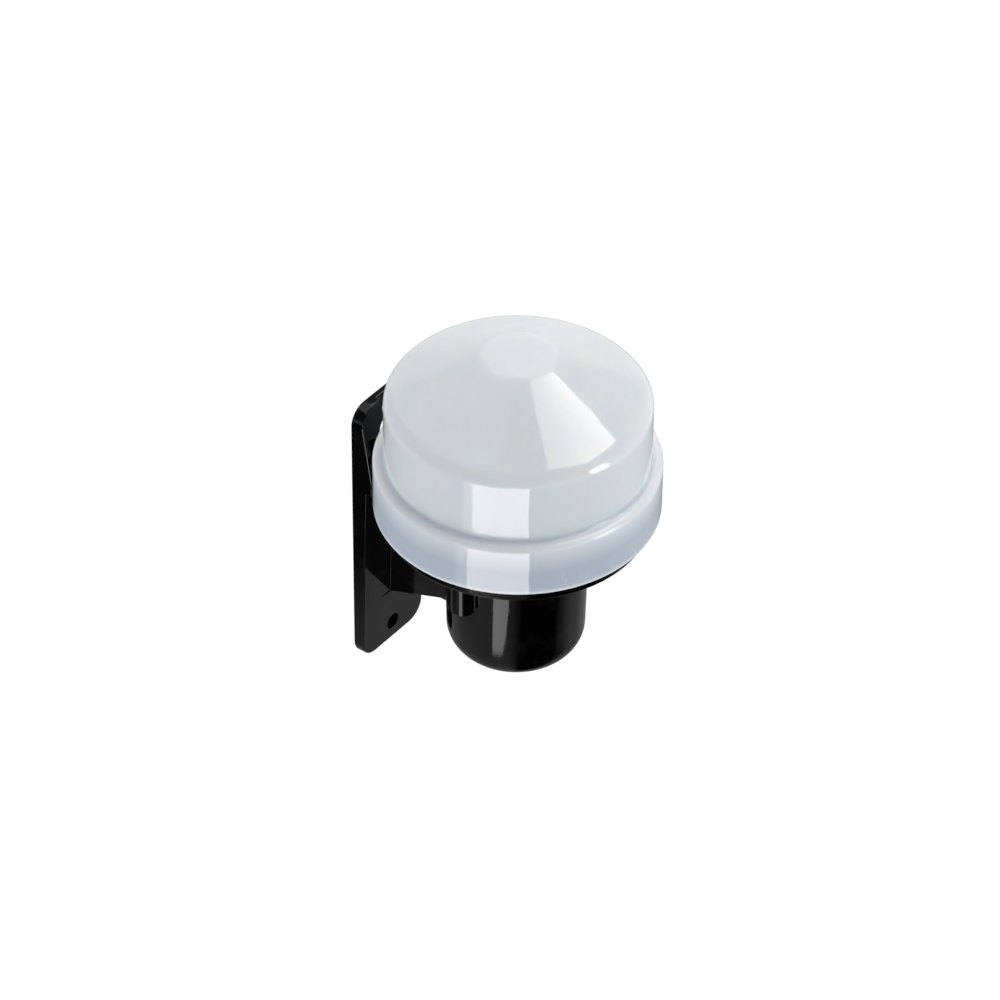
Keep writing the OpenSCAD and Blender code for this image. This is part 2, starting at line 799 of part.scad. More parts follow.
// Small plastic transistor that drives the relay's coil
module driver_transistor() {
    r = transistor_r;
    leg = transistor_leg;
    color("#232326") on_board() translate([resistor_row_x, transistor_y, 0]) {
        translate([0, 0, transistor_up]) difference() {
            cylinder(r = r, h = transistor_h);
            translate([-2 * r, -transistor_flat - 2 * r, -lap]) cube([4 * r, 2 * r, transistor_h + 2 * lap]);
        }
        for (i = [-1:1])
            translate([i * transistor_leg_pitch - leg / 2, -leg / 2, 0])
                cube([leg, leg, transistor_up + lap]);
    }
}

// Disc varistor standing on its two leads
module varistor() {
    r = varistor_size[0] / 2;
    t = varistor_size[1];
    edge = varistor_edge_r;
    color("#3f6fb5") on_board() translate([boss_x + varistor_out, varistor_y, 0]) {
        translate([-t / 2, 0, varistor_up + r]) rotate([0, 90, 0]) rotate_extrude() polygon(concat(
            [[0, 0]],
            arc([r - edge, edge], edge, -90, 0, 4),
            arc([r - edge, t - edge], edge, 0, 90, 4),
            [[0, t]]
        ));
        for (end = [-1, 1])
            translate([0, end * varistor_lead_y, 0]) cylinder(d = lead_d, h = varistor_up + r / 2);
    }
}

// Round board fuse
module fuse() {
    r = fuse_size[0] / 2;
    h = fuse_size[1];
    foot_r = r - fuse_foot[0];
    color("#33343a") on_board() translate([-boss_x - fuse_out, fuse_y, 0]) rotate_extrude() polygon([
        [0, 0], [foot_r, 0], [foot_r, fuse_foot[1]], [r, fuse_foot[1] + slip],
        [r, h - fuse_edge], [r - fuse_edge, h], [0, h]
    ]);
}

base_housing();
dome_cover();
dome_seal();
cable_grommet();
circuit_board();
board_screws();
sensor_post();
light_sensor();
relay();
dropper_capacitor();
smoothing_capacitor();
delay_capacitor();
terminal_block();
terminal_clamps();
terminal_screws();
trimmer_body();
trimmer_dial();
controller_chip();
rectifier_diodes();
zener_diode();
resistors();
power_resistor();
driver_transistor();
varistor();
fuse();
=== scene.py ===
"""Looks of a wall-mounted photocell switch: opal dome, glossy black housing and the relay board inside.

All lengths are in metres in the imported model's frame: the wall is the plane Y = 0, Z is up,
and the dome's axis stands upright in front of the wall.
"""

import math

import bmesh
import bpy
from mathutils import Matrix, Vector


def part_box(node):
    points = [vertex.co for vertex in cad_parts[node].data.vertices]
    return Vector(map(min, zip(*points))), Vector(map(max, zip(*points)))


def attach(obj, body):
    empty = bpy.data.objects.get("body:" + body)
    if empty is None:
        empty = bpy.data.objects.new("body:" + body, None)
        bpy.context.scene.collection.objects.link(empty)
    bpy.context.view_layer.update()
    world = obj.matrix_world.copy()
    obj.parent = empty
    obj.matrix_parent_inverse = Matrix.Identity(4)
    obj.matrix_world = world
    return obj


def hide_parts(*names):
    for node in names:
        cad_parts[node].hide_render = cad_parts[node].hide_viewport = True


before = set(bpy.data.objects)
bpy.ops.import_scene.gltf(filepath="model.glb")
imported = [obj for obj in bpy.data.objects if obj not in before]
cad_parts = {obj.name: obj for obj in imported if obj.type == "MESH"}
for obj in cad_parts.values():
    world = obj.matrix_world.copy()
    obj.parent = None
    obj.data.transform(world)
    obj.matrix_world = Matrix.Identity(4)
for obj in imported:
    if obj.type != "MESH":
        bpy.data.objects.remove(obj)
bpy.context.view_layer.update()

bl_info = {
    "name": "Photocell switch",
    "version": (1, 0, 0),
    "blender": (4, 5, 0),
    "location": "3D View > Sidebar > Photocell",
    "description": "Builds the looks of a wall-mounted photocell switch round its packed model",
    "category": "Object",
}

MM = 0.001
DOME_LOW, DOME_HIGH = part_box("dome_cover")
AXIS = Vector(((DOME_LOW.x + DOME_HIGH.x) / 2, (DOME_LOW.y + DOME_HIGH.y) / 2, DOME_LOW.z))
BOARD_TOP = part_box("circuit_board")[1].z


def linear(hex_colour):
    """Linear RGB of an sRGB hex value."""
    channels = [int(hex_colour[i:i + 2], 16) / 255 for i in (0, 2, 4)]
    return tuple(c / 12.92 if c <= 0.04045 else ((c + 0.055) / 1.055) ** 2.4 for c in channels)


def rgba(colour):
    """A colour with full alpha, for a colour socket."""
    return (colour[0], colour[1], colour[2], 1.0)


def length(name, description, default_mm):
    """A length property with a default in millimetres."""
    return bpy.props.FloatProperty(
        name=name, description=description, default=default_mm * MM, min=0.0, unit="LENGTH", precision=5)


def degrees(name, description, default):
    """An angle property with a default in degrees."""
    return bpy.props.FloatProperty(
        name=name, description=description, default=math.radians(default), subtype="ANGLE")


def amount(name, description, default):
    """A plain positive number."""
    return bpy.props.FloatProperty(name=name, description=description, default=default, min=0.0)


def tint(name, description, hex_colour):
    """A colour property with an sRGB hex default."""
    return bpy.props.FloatVectorProperty(
        name=name, description=description, default=linear(hex_colour), subtype="COLOR", min=0.0, max=1.0)


# Tinned copper wire, the lamps' faintly warm white and plain white
TIN = linear("C9CAC8")
LAMP = (1.0, 0.95, 0.91)
WHITE = (1.0, 1.0, 1.0)


class DomeSettings(bpy.types.PropertyGroup):
    """Sizes and colour of the opal dome."""

    shoulder_height: length("Shoulder height", "Height of the shoulder above the skirt's edge", 15.2)
    shoulder_in: length("Shoulder width", "How far the upper wall stands in from the skirt", 2.87)
    wall_top: length("Wall height", "Height where the upper wall starts to round over", 32.1)
    edge_radius: length("Edge radius", "Radius of the edge where it leaves the upper wall", 3.0)
    crown_radius: length("Crown radius", "Radius of the edge where it runs into the cone", 8.0)
    disc_diameter: length("Disc diameter", "Diameter of the flat disc on top", 19.4)
    wall: length("Wall", "Thickness of the dome's wall", 2.0)
    lip_radius: length("Lip radius", "Radius at the skirt's lower edge", 0.5)
    shoulder_radius: length("Shoulder radius", "Radius at the shoulder's outer edge", 1.8)
    cove_radius: length("Cove radius", "Hollow radius between shoulder and upper wall", 1.0)
    tip_radius: length("Tip radius", "Radius between the cone and the disc", 5.0)
    cone_angle: degrees("Cone angle", "Slope of the cone", 27.8)
    edge_split: degrees("Edge split", "Angle at which the edge's two radii meet", 35)
    steps: bpy.props.IntProperty(
        name="Steps", description="Steps round the dome", default=256, min=32, max=512)
    colour: tint("Opal", "Colour of the opal plastic in a thick piece", "F0F3F8")
    # The skirt's colour is painted shade: the opal drawn darker and bluer where the black collar stands
    # behind it
    skirt_shade_colour: tint("Opal with painted shade", "Colour of the skirt in front of the black collar", "C2CCD9")


class HousingSettings(bpy.types.PropertyGroup):
    """Finish of the black housing and of the rubber pieces."""

    edge_width: length("Edge", "Width of the rounding on the moulding's edges", 0.28)
    hole_up: length("Hole height", "Height of the fixing hole above the plate's lower edge", 5.5)
    hole_width: length("Hole", "Diameter of the fixing hole and width of the keyhole's slot", 4.5)
    key_drop: length("Keyhole drop", "Distance of the keyhole's slot end from the plate's top", 4.9)
    key_travel: length("Keyhole travel", "Distance between the keyhole's two ends", 7.0)
    key_width: length("Keyhole", "Diameter of the keyhole's wide end", 9.0)
    colour: tint("Black plastic", "Colour of the glossy black plastic", "020202")
    rubber: tint("Rubber", "Colour of the seal and the grommet", "1B1B1C")


class BoardSettings(bpy.types.PropertyGroup):
    """Sizes and colours of the board and the parts on it."""

    track_width: length("Track", "Width of a copper track", 0.9)
    print_width: length("Print", "Width of a printed outline", 0.22)
    joint_radius: length("Joint", "Radius of a solder joint at its foot", 0.85)
    mask: tint("Solder mask", "Colour of the green solder mask", "1F5B35")
    copper: tint("Tracks", "Colour of the solder mask over a copper track", "3C7D45")
    relay: tint("Relay", "Colour of the relay's case", "2A5CA4")
    film: tint("Film capacitor", "Colour of the dropper capacitor's case", "D8B22C")
    terminal: tint("Terminals", "Colour of the terminal block", "3A8A4B")


class StageSettings(bpy.types.PropertyGroup):
    """Camera and light."""

    azimuth: degrees("Azimuth", "Camera's turn round the object", -53.05)
    elevation: degrees("Elevation", "Camera's height angle", 39.94)
    roll: degrees("Roll", "Camera's roll", 0.55)
    lens: bpy.props.FloatProperty(
        name="Lens", description="Focal length in millimetres", default=180.0, unit="CAMERA")
    distance: length("Distance", "Distance of the camera from its target", 1295.6)
    floor_drop: length("Floor drop", "Depth of the floor below the skirt's edge", 150.0)
    fill: amount("Fill", "Strength of the light from all sides", 0.69)
    sheet: amount("Sheet", "Brightness of the floor in reflections", 0.26)
    bounce: amount("Bounce", "Brightness of the floor as a light", 1.08)


def add_node(tree, kind, inputs=None, links=None, **settings):
    """Adds a node, sets its properties and input values, and links its inputs.

    A link comes from a socket, or from a node, which stands for its first output.
    """
    node = tree.nodes.new(kind)
    for name, value in settings.items():
        setattr(node, name, value)
    for name, value in (inputs or {}).items():
        node.inputs[name].default_value = value
    for name, source in (links or {}).items():
        socket = source.outputs[0] if isinstance(source, bpy.types.Node) else source
        tree.links.new(socket, node.inputs[name])
    return node


def new_material(name):
    """An empty node material, returned with its tree."""
    material = bpy.data.materials.new(name)
    material.use_nodes = True
    tree = material.node_tree
    tree.nodes.clear()
    return material, tree


def shown(material, shader):
    """Makes a shader the material's surface and hands the material over."""
    add_node(material.node_tree, "ShaderNodeOutputMaterial", None, {"Surface": shader})
    return material


def plain_piece(name, mesh, body, slot, *replaced):
    """Links a finished mesh as a piece that rides on a body and stands for CAD nodes."""
    piece = bpy.data.objects.new(name, mesh)
    bpy.context.scene.collection.objects.link(piece)
    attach(piece, body)
    if replaced:
        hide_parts(*replaced)


def dress(node, material):
    """Gives a CAD node a material in place of its plain one."""
    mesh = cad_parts[node].data
    if not mesh.materials:
        mesh.materials.append(material)
    for index in range(len(mesh.materials)):
        mesh.materials[index] = material


def smooth(mesh, angle):
    """Smooth shading with sharp edges above an angle."""
    mesh.shade_smooth()
    mesh.set_sharp_from_angle(angle=angle)


def arc(centre, radius, start, end, count):
    """Points of an arc in the plane of a turned outline, angles in degrees."""
    angles = [math.radians(start + (end - start) * i / count) for i in range(count + 1)]
    return [(centre[0] + radius * math.cos(a), centre[1] + radius * math.sin(a)) for a in angles]


def held_straight(start, end):
    """Two points just inside the ends of a straight run, which keep its shading flat."""
    inset = 0.15 * MM
    share = inset / math.dist(start, end)
    return [tuple(a + (b - a) * at for a, b in zip(start, end)) for at in (share, 1 - share)]


def new_tree(name, result, **inputs):
    """An empty geometry tree with named inputs and one result, returned with the sockets of its inputs."""
    tree = bpy.data.node_groups.new(name, "GeometryNodeTree")
    for socket, kind in inputs.items():
        tree.interface.new_socket(socket, in_out="INPUT", socket_type="NodeSocket" + kind)
    tree.interface.new_socket(result, in_out="OUTPUT", socket_type="NodeSocketGeometry")
    return tree, add_node(tree, "NodeGroupInput").outputs


def end_tree(tree, shape, material):
    """Makes a tree's shape real, gives it its material and hands it out."""
    real = add_node(tree, "GeometryNodeRealizeInstances", None, {"Geometry": shape})
    finish = add_node(tree, "GeometryNodeSetMaterial", None, {"Geometry": real, "Material": material})
    add_node(tree, "NodeGroupOutput", None, {0: finish})
    return tree


def turned_tree():
    """Node tree that turns an outline, given as a chain of points in X and Z, round the Z axis."""
    tree, given = new_tree("Turned shell", "Shell", Outline="Geometry", Steps="Int", Points="Int",
                           Material="Material")
    columns = add_node(tree, "ShaderNodeMath", {1: 1.0}, {0: given["Steps"]}, operation="ADD")
    grid = add_node(tree, "GeometryNodeMeshGrid", None,
                    {"Vertices X": columns, "Vertices Y": given["Points"]})
    index = add_node(tree, "GeometryNodeInputIndex")
    along = add_node(tree, "ShaderNodeMath", None, {0: index, 1: given["Points"]}, operation="MODULO")
    ratio = add_node(tree, "ShaderNodeMath", None, {0: index, 1: given["Points"]}, operation="DIVIDE")
    column = add_node(tree, "ShaderNodeMath", None, {0: ratio}, operation="FLOOR")
    share = add_node(tree, "ShaderNodeMath", None, {0: column, 1: given["Steps"]}, operation="DIVIDE")
    angle = add_node(tree, "ShaderNodeMath", {1: math.tau}, {0: share}, operation="MULTIPLY")
    position = add_node(tree, "GeometryNodeInputPosition")
    sample = add_node(tree, "GeometryNodeSampleIndex", None, {
        "Geometry": given["Outline"], "Value": position, "Index": along,
    }, data_type="FLOAT_VECTOR")
    turn = add_node(tree, "ShaderNodeVectorRotate", None,
                    {"Vector": sample, "Angle": angle}, rotation_type="Z_AXIS")
    placed = add_node(tree, "GeometryNodeSetPosition", None,
                      {"Geometry": grid.outputs["Mesh"], "Position": turn})
    closed = add_node(tree, "GeometryNodeMergeByDistance", {"Distance": 1e-7}, {"Geometry": placed})
    return end_tree(tree, closed, given["Material"])


def grown_mesh(name, points, edges, tree, values):
    """The plain mesh that a node tree makes from a chain of points, with inputs set by socket name."""
    seed = bpy.data.meshes.new(name)
    seed.from_pydata(points, edges, [])
    carrier = bpy.data.objects.new(name + "_seed", seed)
    bpy.context.scene.collection.objects.link(carrier)
    modifier = carrier.modifiers.new(name, "NODES")
    modifier.node_group = tree
    for item in tree.interface.items_tree:
        if item.in_out == "INPUT" and item.name in values:
            modifier[item.identifier] = values[item.name]
    graph = bpy.context.evaluated_depsgraph_get()
    mesh = bpy.data.meshes.new_from_object(carrier.evaluated_get(graph), depsgraph=graph)
    mesh.name = name
    bpy.data.objects.remove(carrier)
    if not mesh.polygons:
        raise RuntimeError(name + " came out empty")
    return mesh


def turned_mesh(name, outline, steps, place, material):
    """A smooth turned mesh from an outline of (radius, height) points, closed into a solid."""
    points = [(x, 0.0, z) for x, z in outline]
    edges = [(i, i + 1) for i in range(len(points) - 1)]
    values = {"Steps": steps, "Points": len(points), "Material": material}
    tree = bpy.data.node_groups.get("Turned shell") or turned_tree()
    mesh = grown_mesh(name, points, edges, tree, values)
    mesh.transform(Matrix.Translation(place))
    work = bmesh.new()
    work.from_mesh(mesh)
    # The outline's run along the axis leaves an edge with no faces
    for edge in [edge for edge in work.edges if edge.is_wire]:
        work.edges.remove(edge)
    bmesh.ops.recalc_face_normals(work, faces=work.faces)
    work.to_mesh(mesh)
    work.free()
    smooth(mesh, math.radians(35))
    return mesh


def ribbon_tree():
    """Node tree that lays a flat ribbon along level routes."""
    tree, given = new_tree("Ribbon along routes", "Ribbon", Routes="Geometry", Width="Float",
                           Thickness="Float", Material="Material")
    curve = add_node(tree, "GeometryNodeMeshToCurve", None, {"Mesh": given["Routes"]})
    upright = add_node(tree, "GeometryNodeSetCurveNormal", None, {"Curve": curve}, mode="Z_UP")
    section = add_node(tree, "GeometryNodeCurvePrimitiveQuadrilateral", None,
                       {"Width": given["Width"], "Height": given["Thickness"]})
    body = add_node(tree, "GeometryNodeCurveToMesh", {"Fill Caps": True},
                    {"Curve": upright, "Profile Curve": section})
    return end_tree(tree, body, given["Material"])


def ribbon_mesh(name, routes, width, thickness, material):
    """A mesh of flat ribbons along routes, each a list of points and whether it closes."""
    points, edges = [], []
    for route, closed in routes:
        first = len(points)
        points += route
        edges += [(first + i, first + i + 1) for i in range(len(route) - 1)]
        if closed:
            edges.append((len(points) - 1, first))
    values = {"Width": width, "Thickness": thickness, "Material": material}
    tree = bpy.data.node_groups.get("Ribbon along routes") or ribbon_tree()
    return grown_mesh(name, points, edges, tree, values)


def joint_tree():
    """Node tree that sets a solder cone on each point."""
    tree, given = new_tree("Cones on points", "Cones", Points="Geometry", Radius="Float", Height="Float",
                           Material="Material")
    top = add_node(tree, "ShaderNodeMath", {1: 0.45}, {0: given["Radius"]}, operation="MULTIPLY")
    cone = add_node(tree, "GeometryNodeMeshCone", {"Vertices": 20}, {
        "Radius Top": top, "Radius Bottom": given["Radius"], "Depth": given["Height"],
    })
    points = add_node(tree, "GeometryNodeMeshToPoints", None, {"Mesh": given["Points"]})
    spread = add_node(tree, "GeometryNodeInstanceOnPoints", None,
                      {"Points": points, "Instance": cone.outputs["Mesh"]})
    return end_tree(tree, spread, given["Material"])


def on_board(x_mm, y_mm, up_mm=0.0):
    """A point given in millimetres from the dome's axis and up from the board's top."""
    return Vector((AXIS.x + x_mm * MM, AXIS.y + y_mm * MM, BOARD_TOP + up_mm * MM))


def box_route(x0, y0, x1, y1, up_mm):
    """A closed level rectangle over the board."""
    corners = ((x0, y0), (x1, y0), (x1, y1), (x0, y1))
    return [on_board(x, y, up_mm) for x, y in corners], True


def ring_route(x, y, radius, up_mm, steps=48):
    """A closed level circle over the board."""
    turns = [math.tau * i / steps for i in range(steps)]
    return [on_board(x + radius * math.cos(a), y + radius * math.sin(a), up_mm) for a in turns], True


def line_route(up_mm, *spots):
    """An open level line over the board."""
    return [on_board(x, y, up_mm) for x, y in spots], False


def dome_outline(dome):
    """Closed outline of the dome's wall, from the skirt's outer foot over the top and back inside."""
    skirt = (DOME_HIGH.x - DOME_LOW.x) / 2
    upper = skirt - dome.shoulder_in
    disc = dome.disc_diameter / 2
    slope = math.degrees(dome.cone_angle)
    split = math.degrees(dome.edge_split)
    top = DOME_HIGH.z - DOME_LOW.z
    tip_x = disc - dome.tip_radius * math.tan(dome.cone_angle / 2)
    pocket = dome.shoulder_height - dome.wall
    lip = (skirt - dome.lip_radius, dome.lip_radius)
    shoulder = (skirt - dome.shoulder_radius, dome.shoulder_height - dome.shoulder_radius)
    cove = (upper + dome.cove_radius, dome.shoulder_height + dome.cove_radius)
    edge = (upper - dome.edge_radius, dome.wall_top)
    step = dome.edge_radius - dome.crown_radius
    crown = (edge[0] + step * math.cos(dome.edge_split), edge[1] + step * math.sin(dome.edge_split))
    tip = (tip_x, top - dome.tip_radius)
    foot = arc(lip, dome.lip_radius, -90, 0, 8)
    ledge = arc(shoulder, dome.shoulder_radius, 0, 90, 12) + arc(cove, dome.cove_radius, 270, 180, 14)
    brow = arc(edge, dome.edge_radius, 0, split, 14)
    brow += arc(crown, dome.crown_radius, split, 90 - slope, 12)[1:]
    peak = arc(tip, dome.tip_radius, 90 - slope, 90, 14)
    outside = foot + held_straight(foot[-1], ledge[0]) + ledge + held_straight(ledge[-1], brow[0])
    outside += brow + held_straight(brow[-1], peak[0]) + peak + held_straight(peak[-1], (0.0, top))
    inner_disc = disc - dome.wall * math.tan(dome.cone_angle / 2)
    inside = [(0.0, top), (0.0, top - dome.wall), (inner_disc, top - dome.wall)]
    inside += arc(crown, dome.crown_radius - dome.wall, 90 - slope, split, 8)
    inside += arc(edge, dome.edge_radius - dome.wall, split, 0, 6)[1:]
    inside += [(upper - dome.wall, pocket), (skirt - dome.wall, pocket), (skirt - dome.wall, 0.0)]
    return outside + inside + outside[:1]


def opal_plastic(colour, skirt_shade_colour):
    """Opal acrylic, moulded and polished: milky light inside the wall, with painted shade and light by
    height.
    """
    material, tree = new_material("Opal acrylic, moulded")
    place = add_node(tree, "ShaderNodeTexCoord")
    # Flow marks of the moulding, a few millimetres across, only in the gloss
    flow = add_node(tree, "ShaderNodeTexNoise", {"Scale": 1 / (9 * MM), "Detail": 3.0, "Roughness": 0.55},
                    {"Vector": place.outputs["Object"]})
    gloss = add_node(tree, "ShaderNodeMapRange", {"To Min": 0.02, "To Max": 0.06},
                     {"Value": flow.outputs["Fac"]})
    # Very shallow waviness of the surface
    wave = add_node(tree, "ShaderNodeTexNoise", {"Scale": 1 / (11 * MM), "Detail": 1.0},
                    {"Vector": place.outputs["Object"]})
    bump = add_node(tree, "ShaderNodeBump", {"Strength": 1.0, "Distance": 0.1 * MM},
                    {"Height": wave.outputs["Fac"]})
    # Painted shade: the skirt is drawn darker and bluer where the black collar stands close behind it
    around = add_node(tree, "ShaderNodeVectorMath", {1: AXIS}, {0: place.outputs["Object"]},
                      operation="SUBTRACT")
    axes = add_node(tree, "ShaderNodeSeparateXYZ", None, {0: around})
    reach_mm = 20
    height = add_node(tree, "ShaderNodeMapRange", {"From Min": 0.0, "From Max": reach_mm * MM},
                      {"Value": axes.outputs["Z"]})
    # Tones for painted light at the lip and shoulder and for painted shade in the cove, mixed from the two
    # colours
    light, cove_shade = ([a + (b - a) * share for a, b in zip(skirt_shade_colour, colour)] for share in (0.8, 0.7))
    body = add_node(tree, "ShaderNodeValToRGB", None, {"Fac": height})
    stops = body.color_ramp.elements
    # Heights above the skirt's edge in millimetres, and the colours there: painted light at lip and
    # shoulder, painted shade on skirt and cove
    bands = ((0.0, light), (1.5, skirt_shade_colour), (7.0, skirt_shade_colour), (14.2, light), (15.0, cove_shade),
             (15.9, cove_shade), (17.2, colour))
    for index, (up, tone) in enumerate(bands):
        stop = stops[index] if index < len(stops) else stops.new(up / reach_mm)
        stop.position = up / reach_mm
        stop.color = rgba(tone)
    # Short upright scratches at the skirt's foot, where the dome is gripped and pulled off
    apart = 0.893 * MM
    tall = 7 * MM
    skirt = (DOME_HIGH.x - DOME_LOW.x) / 2
    angle = add_node(tree, "ShaderNodeMath", None, {0: axes.outputs["Y"], 1: axes.outputs["X"]},
                     operation="ARCTAN2")
    spread = add_node(tree, "ShaderNodeMath", {1: skirt / apart}, {0: angle}, operation="MULTIPLY")
    rise = add_node(tree, "ShaderNodeMath", {1: tall}, {0: axes.outputs["Z"]}, operation="DIVIDE")
    line = add_node(tree, "ShaderNodeCombineXYZ", None, {"X": spread, "Y": rise})
    noise = add_node(tree, "ShaderNodeTexNoise", {"Scale": 1.0, "Detail": 2.0}, {"Vector": line})
    scratch = add_node(tree, "ShaderNodeMapRange", {"From Min": 0.64, "From Max": 0.74},
                       {"Value": noise.outputs["Fac"]})
    fade = add_node(tree, "ShaderNodeMapRange", {
        "From Min": 1 * MM, "From Max": tall, "To Min": 0.5, "To Max": 0.0,
    }, {"Value": axes.outputs["Z"]})
    worn = add_node(tree, "ShaderNodeMath", None, {0: scratch, 1: fade}, operation="MULTIPLY")
    marked = add_node(tree, "ShaderNodeMix", {7: rgba(colour)},
                      {0: worn, 6: body.outputs["Color"]}, data_type="RGBA")
    shader = add_node(tree, "ShaderNodeBsdfPrincipled", {
        "IOR": 1.49, "Subsurface Weight": 1.0,
        "Subsurface Radius": (1.0, 0.72, 0.55), "Subsurface Scale": 5 * MM,
    }, {"Base Color": marked.outputs[2], "Roughness": gloss, "Normal": bump})
    return shown(material, shader)


def black_plastic(colour):
    """ABS, moulded in a polished tool: near-black with sharp reflections, faint smudges and dust."""
    material, tree = new_material("Black ABS, polished moulding")
    place = add_node(tree, "ShaderNodeTexCoord")
    # Smudges dull the gloss, and a faint ripple is left from the tool
    smudge = add_node(tree, "ShaderNodeTexNoise", {"Scale": 1 / (5 * MM), "Detail": 4.0, "Roughness": 0.6},
                      {"Vector": place.outputs["Object"]})
    gloss = add_node(tree, "ShaderNodeMapRange", {"To Min": 0.02, "To Max": 0.1},
                     {"Value": smudge.outputs["Fac"]})
    grain = add_node(tree, "ShaderNodeTexNoise", {"Scale": 1 / (0.5 * MM), "Detail": 2.0},
                     {"Vector": place.outputs["Object"]})
    bump = add_node(tree, "ShaderNodeBump", {"Strength": 0.12, "Distance": 0.05 * MM},
                    {"Height": grain.outputs["Fac"]})
    # A little dust lies in the smudges
    dust = add_node(tree, "ShaderNodeMapRange", {"From Min": 0.52, "From Max": 0.75, "To Max": 0.005},
                    {"Value": smudge.outputs["Fac"]})
    body = add_node(tree, "ShaderNodeMix", {6: rgba(colour), 7: rgba(WHITE)},
                    {0: dust}, data_type="RGBA")
    shader = add_node(tree, "ShaderNodeBsdfPrincipled", {"IOR": 1.53}, {
        "Base Color": body.outputs[2], "Roughness": gloss, "Normal": bump})
    return shown(material, shader)


def bore_plastic(colour):
    """ABS, moulded on a plain core pin: the matt wall of a hole."""
    material, tree = new_material("Black ABS, matt bore")
    shader = add_node(tree, "ShaderNodeBsdfPrincipled", {
        "Base Color": rgba(colour), "Roughness": 0.9, "Specular IOR Level": 0.05})
    return shown(material, shader)


def slab(axis, centre, half, outside=False):
    """Mask of the points whose X, Y or Z lies within a distance of a value, or of the others."""
    def build(tree, place):
        axes = add_node(tree, "ShaderNodeSeparateXYZ", None, {0: place})
        inside = add_node(tree, "ShaderNodeMath", {1: centre, 2: half}, {0: axes.outputs[axis]},
                          operation="COMPARE")
        if not outside:
            return inside
        return add_node(tree, "ShaderNodeMath", {0: 1.0}, {1: inside}, operation="SUBTRACT")
    return build


def pillar(centre, radius, outside=False):
    """Mask of the points within a radius of an upright axis, or of the others."""
    def build(tree, place):
        flat = add_node(tree, "ShaderNodeVectorMath", {1: (1.0, 1.0, 0.0)}, {0: place},
                        operation="MULTIPLY")
        away = add_node(tree, "ShaderNodeVectorMath", {1: (centre.x, centre.y, 0.0)}, {0: flat},
                        operation="DISTANCE")
        kind = "GREATER_THAN" if outside else "LESS_THAN"
        return add_node(tree, "ShaderNodeMath", {1: radius}, {0: away.outputs["Value"]}, operation=kind)
    return build


def beyond(centre, direction, distance):
    """Mask of the points farther than a distance from a centre along a direction."""
    def build(tree, place):
        offset = add_node(tree, "ShaderNodeVectorMath", {1: centre}, {0: place}, operation="SUBTRACT")
        along = add_node(tree, "ShaderNodeVectorMath", {1: direction}, {0: offset},
                         operation="DOT_PRODUCT")
        return add_node(tree, "ShaderNodeMath", {1: distance}, {0: along.outputs["Value"]},
                        operation="GREATER_THAN")
    return build


def moulded(name, colour, roughness, grain_mm, depth_mm, patches=()):
    """A moulded or coated part: fine grain and a small change of colour, with patches of other finishes.

    A patch is a mask, a colour, a metallic value and a roughness.
    """
    material, tree = new_material(name)
    place = add_node(tree, "ShaderNodeTexCoord").outputs["Object"]
    grain = add_node(tree, "ShaderNodeTexNoise", {"Scale": 1 / (grain_mm * MM), "Detail": 3.0},
                     {"Vector": place})
    shade = add_node(tree, "ShaderNodeMix", {
        6: rgba([c * 0.82 for c in colour]), 7: rgba([min(1.0, c * 1.12) for c in colour]),
    }, {0: grain.outputs["Fac"]}, data_type="RGBA")
    # The CAD edges are rounded in the shading, and the grain is drawn coarse enough to show
    edge = add_node(tree, "ShaderNodeBevel", {"Radius": 0.12 * MM}, samples=4)
    bump = add_node(tree, "ShaderNodeBump", {"Strength": 0.3, "Distance": depth_mm * MM},
                    {"Height": grain.outputs["Fac"], "Normal": edge})
    shader = add_node(tree, "ShaderNodeBsdfPrincipled", {"Roughness": roughness}, {"Normal": bump})
    body = shade.outputs[2]
    for mask, patch_colour, metallic, patch_roughness in patches:
        share = mask(tree, place)
        body = add_node(tree, "ShaderNodeMix", {7: rgba(patch_colour)}, {0: share, 6: body},
                        data_type="RGBA").outputs[2]
        for socket, value in (("Metallic", metallic), ("Roughness", patch_roughness)):
            entry = shader.inputs[socket]
            mixed = add_node(tree, "ShaderNodeMix", {2: entry.default_value, 3: value}, {0: share},
                             data_type="FLOAT")
            if entry.is_linked:
                tree.links.new(entry.links[0].from_socket, mixed.inputs[2])
            tree.links.new(mixed.outputs[0], entry)
    tree.links.new(body, shader.inputs["Base Color"])
    return shown(material, shader)


def painted(mask, colour, roughness):
    """A patch of paint or print on a part."""
    return mask, colour, 0.0, roughness


def tinned(mask):
    """A patch of tinned wire on a part: bright silver, a little blurred."""
    return mask, TIN, 1.0, 0.3


def metal(name, colour, roughness):
    """A plated or bright metal with faint tool marks, drawn coarse enough to show."""
    material, tree = new_material(name)
    place = add_node(tree, "ShaderNodeTexCoord")
    marks = add_node(tree, "ShaderNodeTexNoise", {"Scale": 1 / (0.6 * MM), "Detail": 2.0},
                     {"Vector": place.outputs["Object"]})
    gloss = add_node(tree, "ShaderNodeMapRange", {"To Min": roughness * 0.7, "To Max": roughness * 1.3},
                     {"Value": marks.outputs["Fac"]})
    shader = add_node(tree, "ShaderNodeBsdfPrincipled", {"Base Color": rgba(colour), "Metallic": 1.0},
                      {"Roughness": gloss})
    return shown(material, shader)


class PHOTOCELL_OT_dome(bpy.types.Operator):
    """Turns the opal dome from its outline."""

    bl_idname = "photocell.dome"
    bl_label = "Opal dome"

    def execute(self, context):
        dome = context.scene.photocell_dome
        material = opal_plastic(dome.colour, dome.skirt_shade_colour)
        mesh = turned_mesh("opal_dome", dome_outline(dome), dome.steps, AXIS, material)
        plain_piece("opal_dome", mesh, "dome", "opal_dome", "dome_cover")
        return {"FINISHED"}


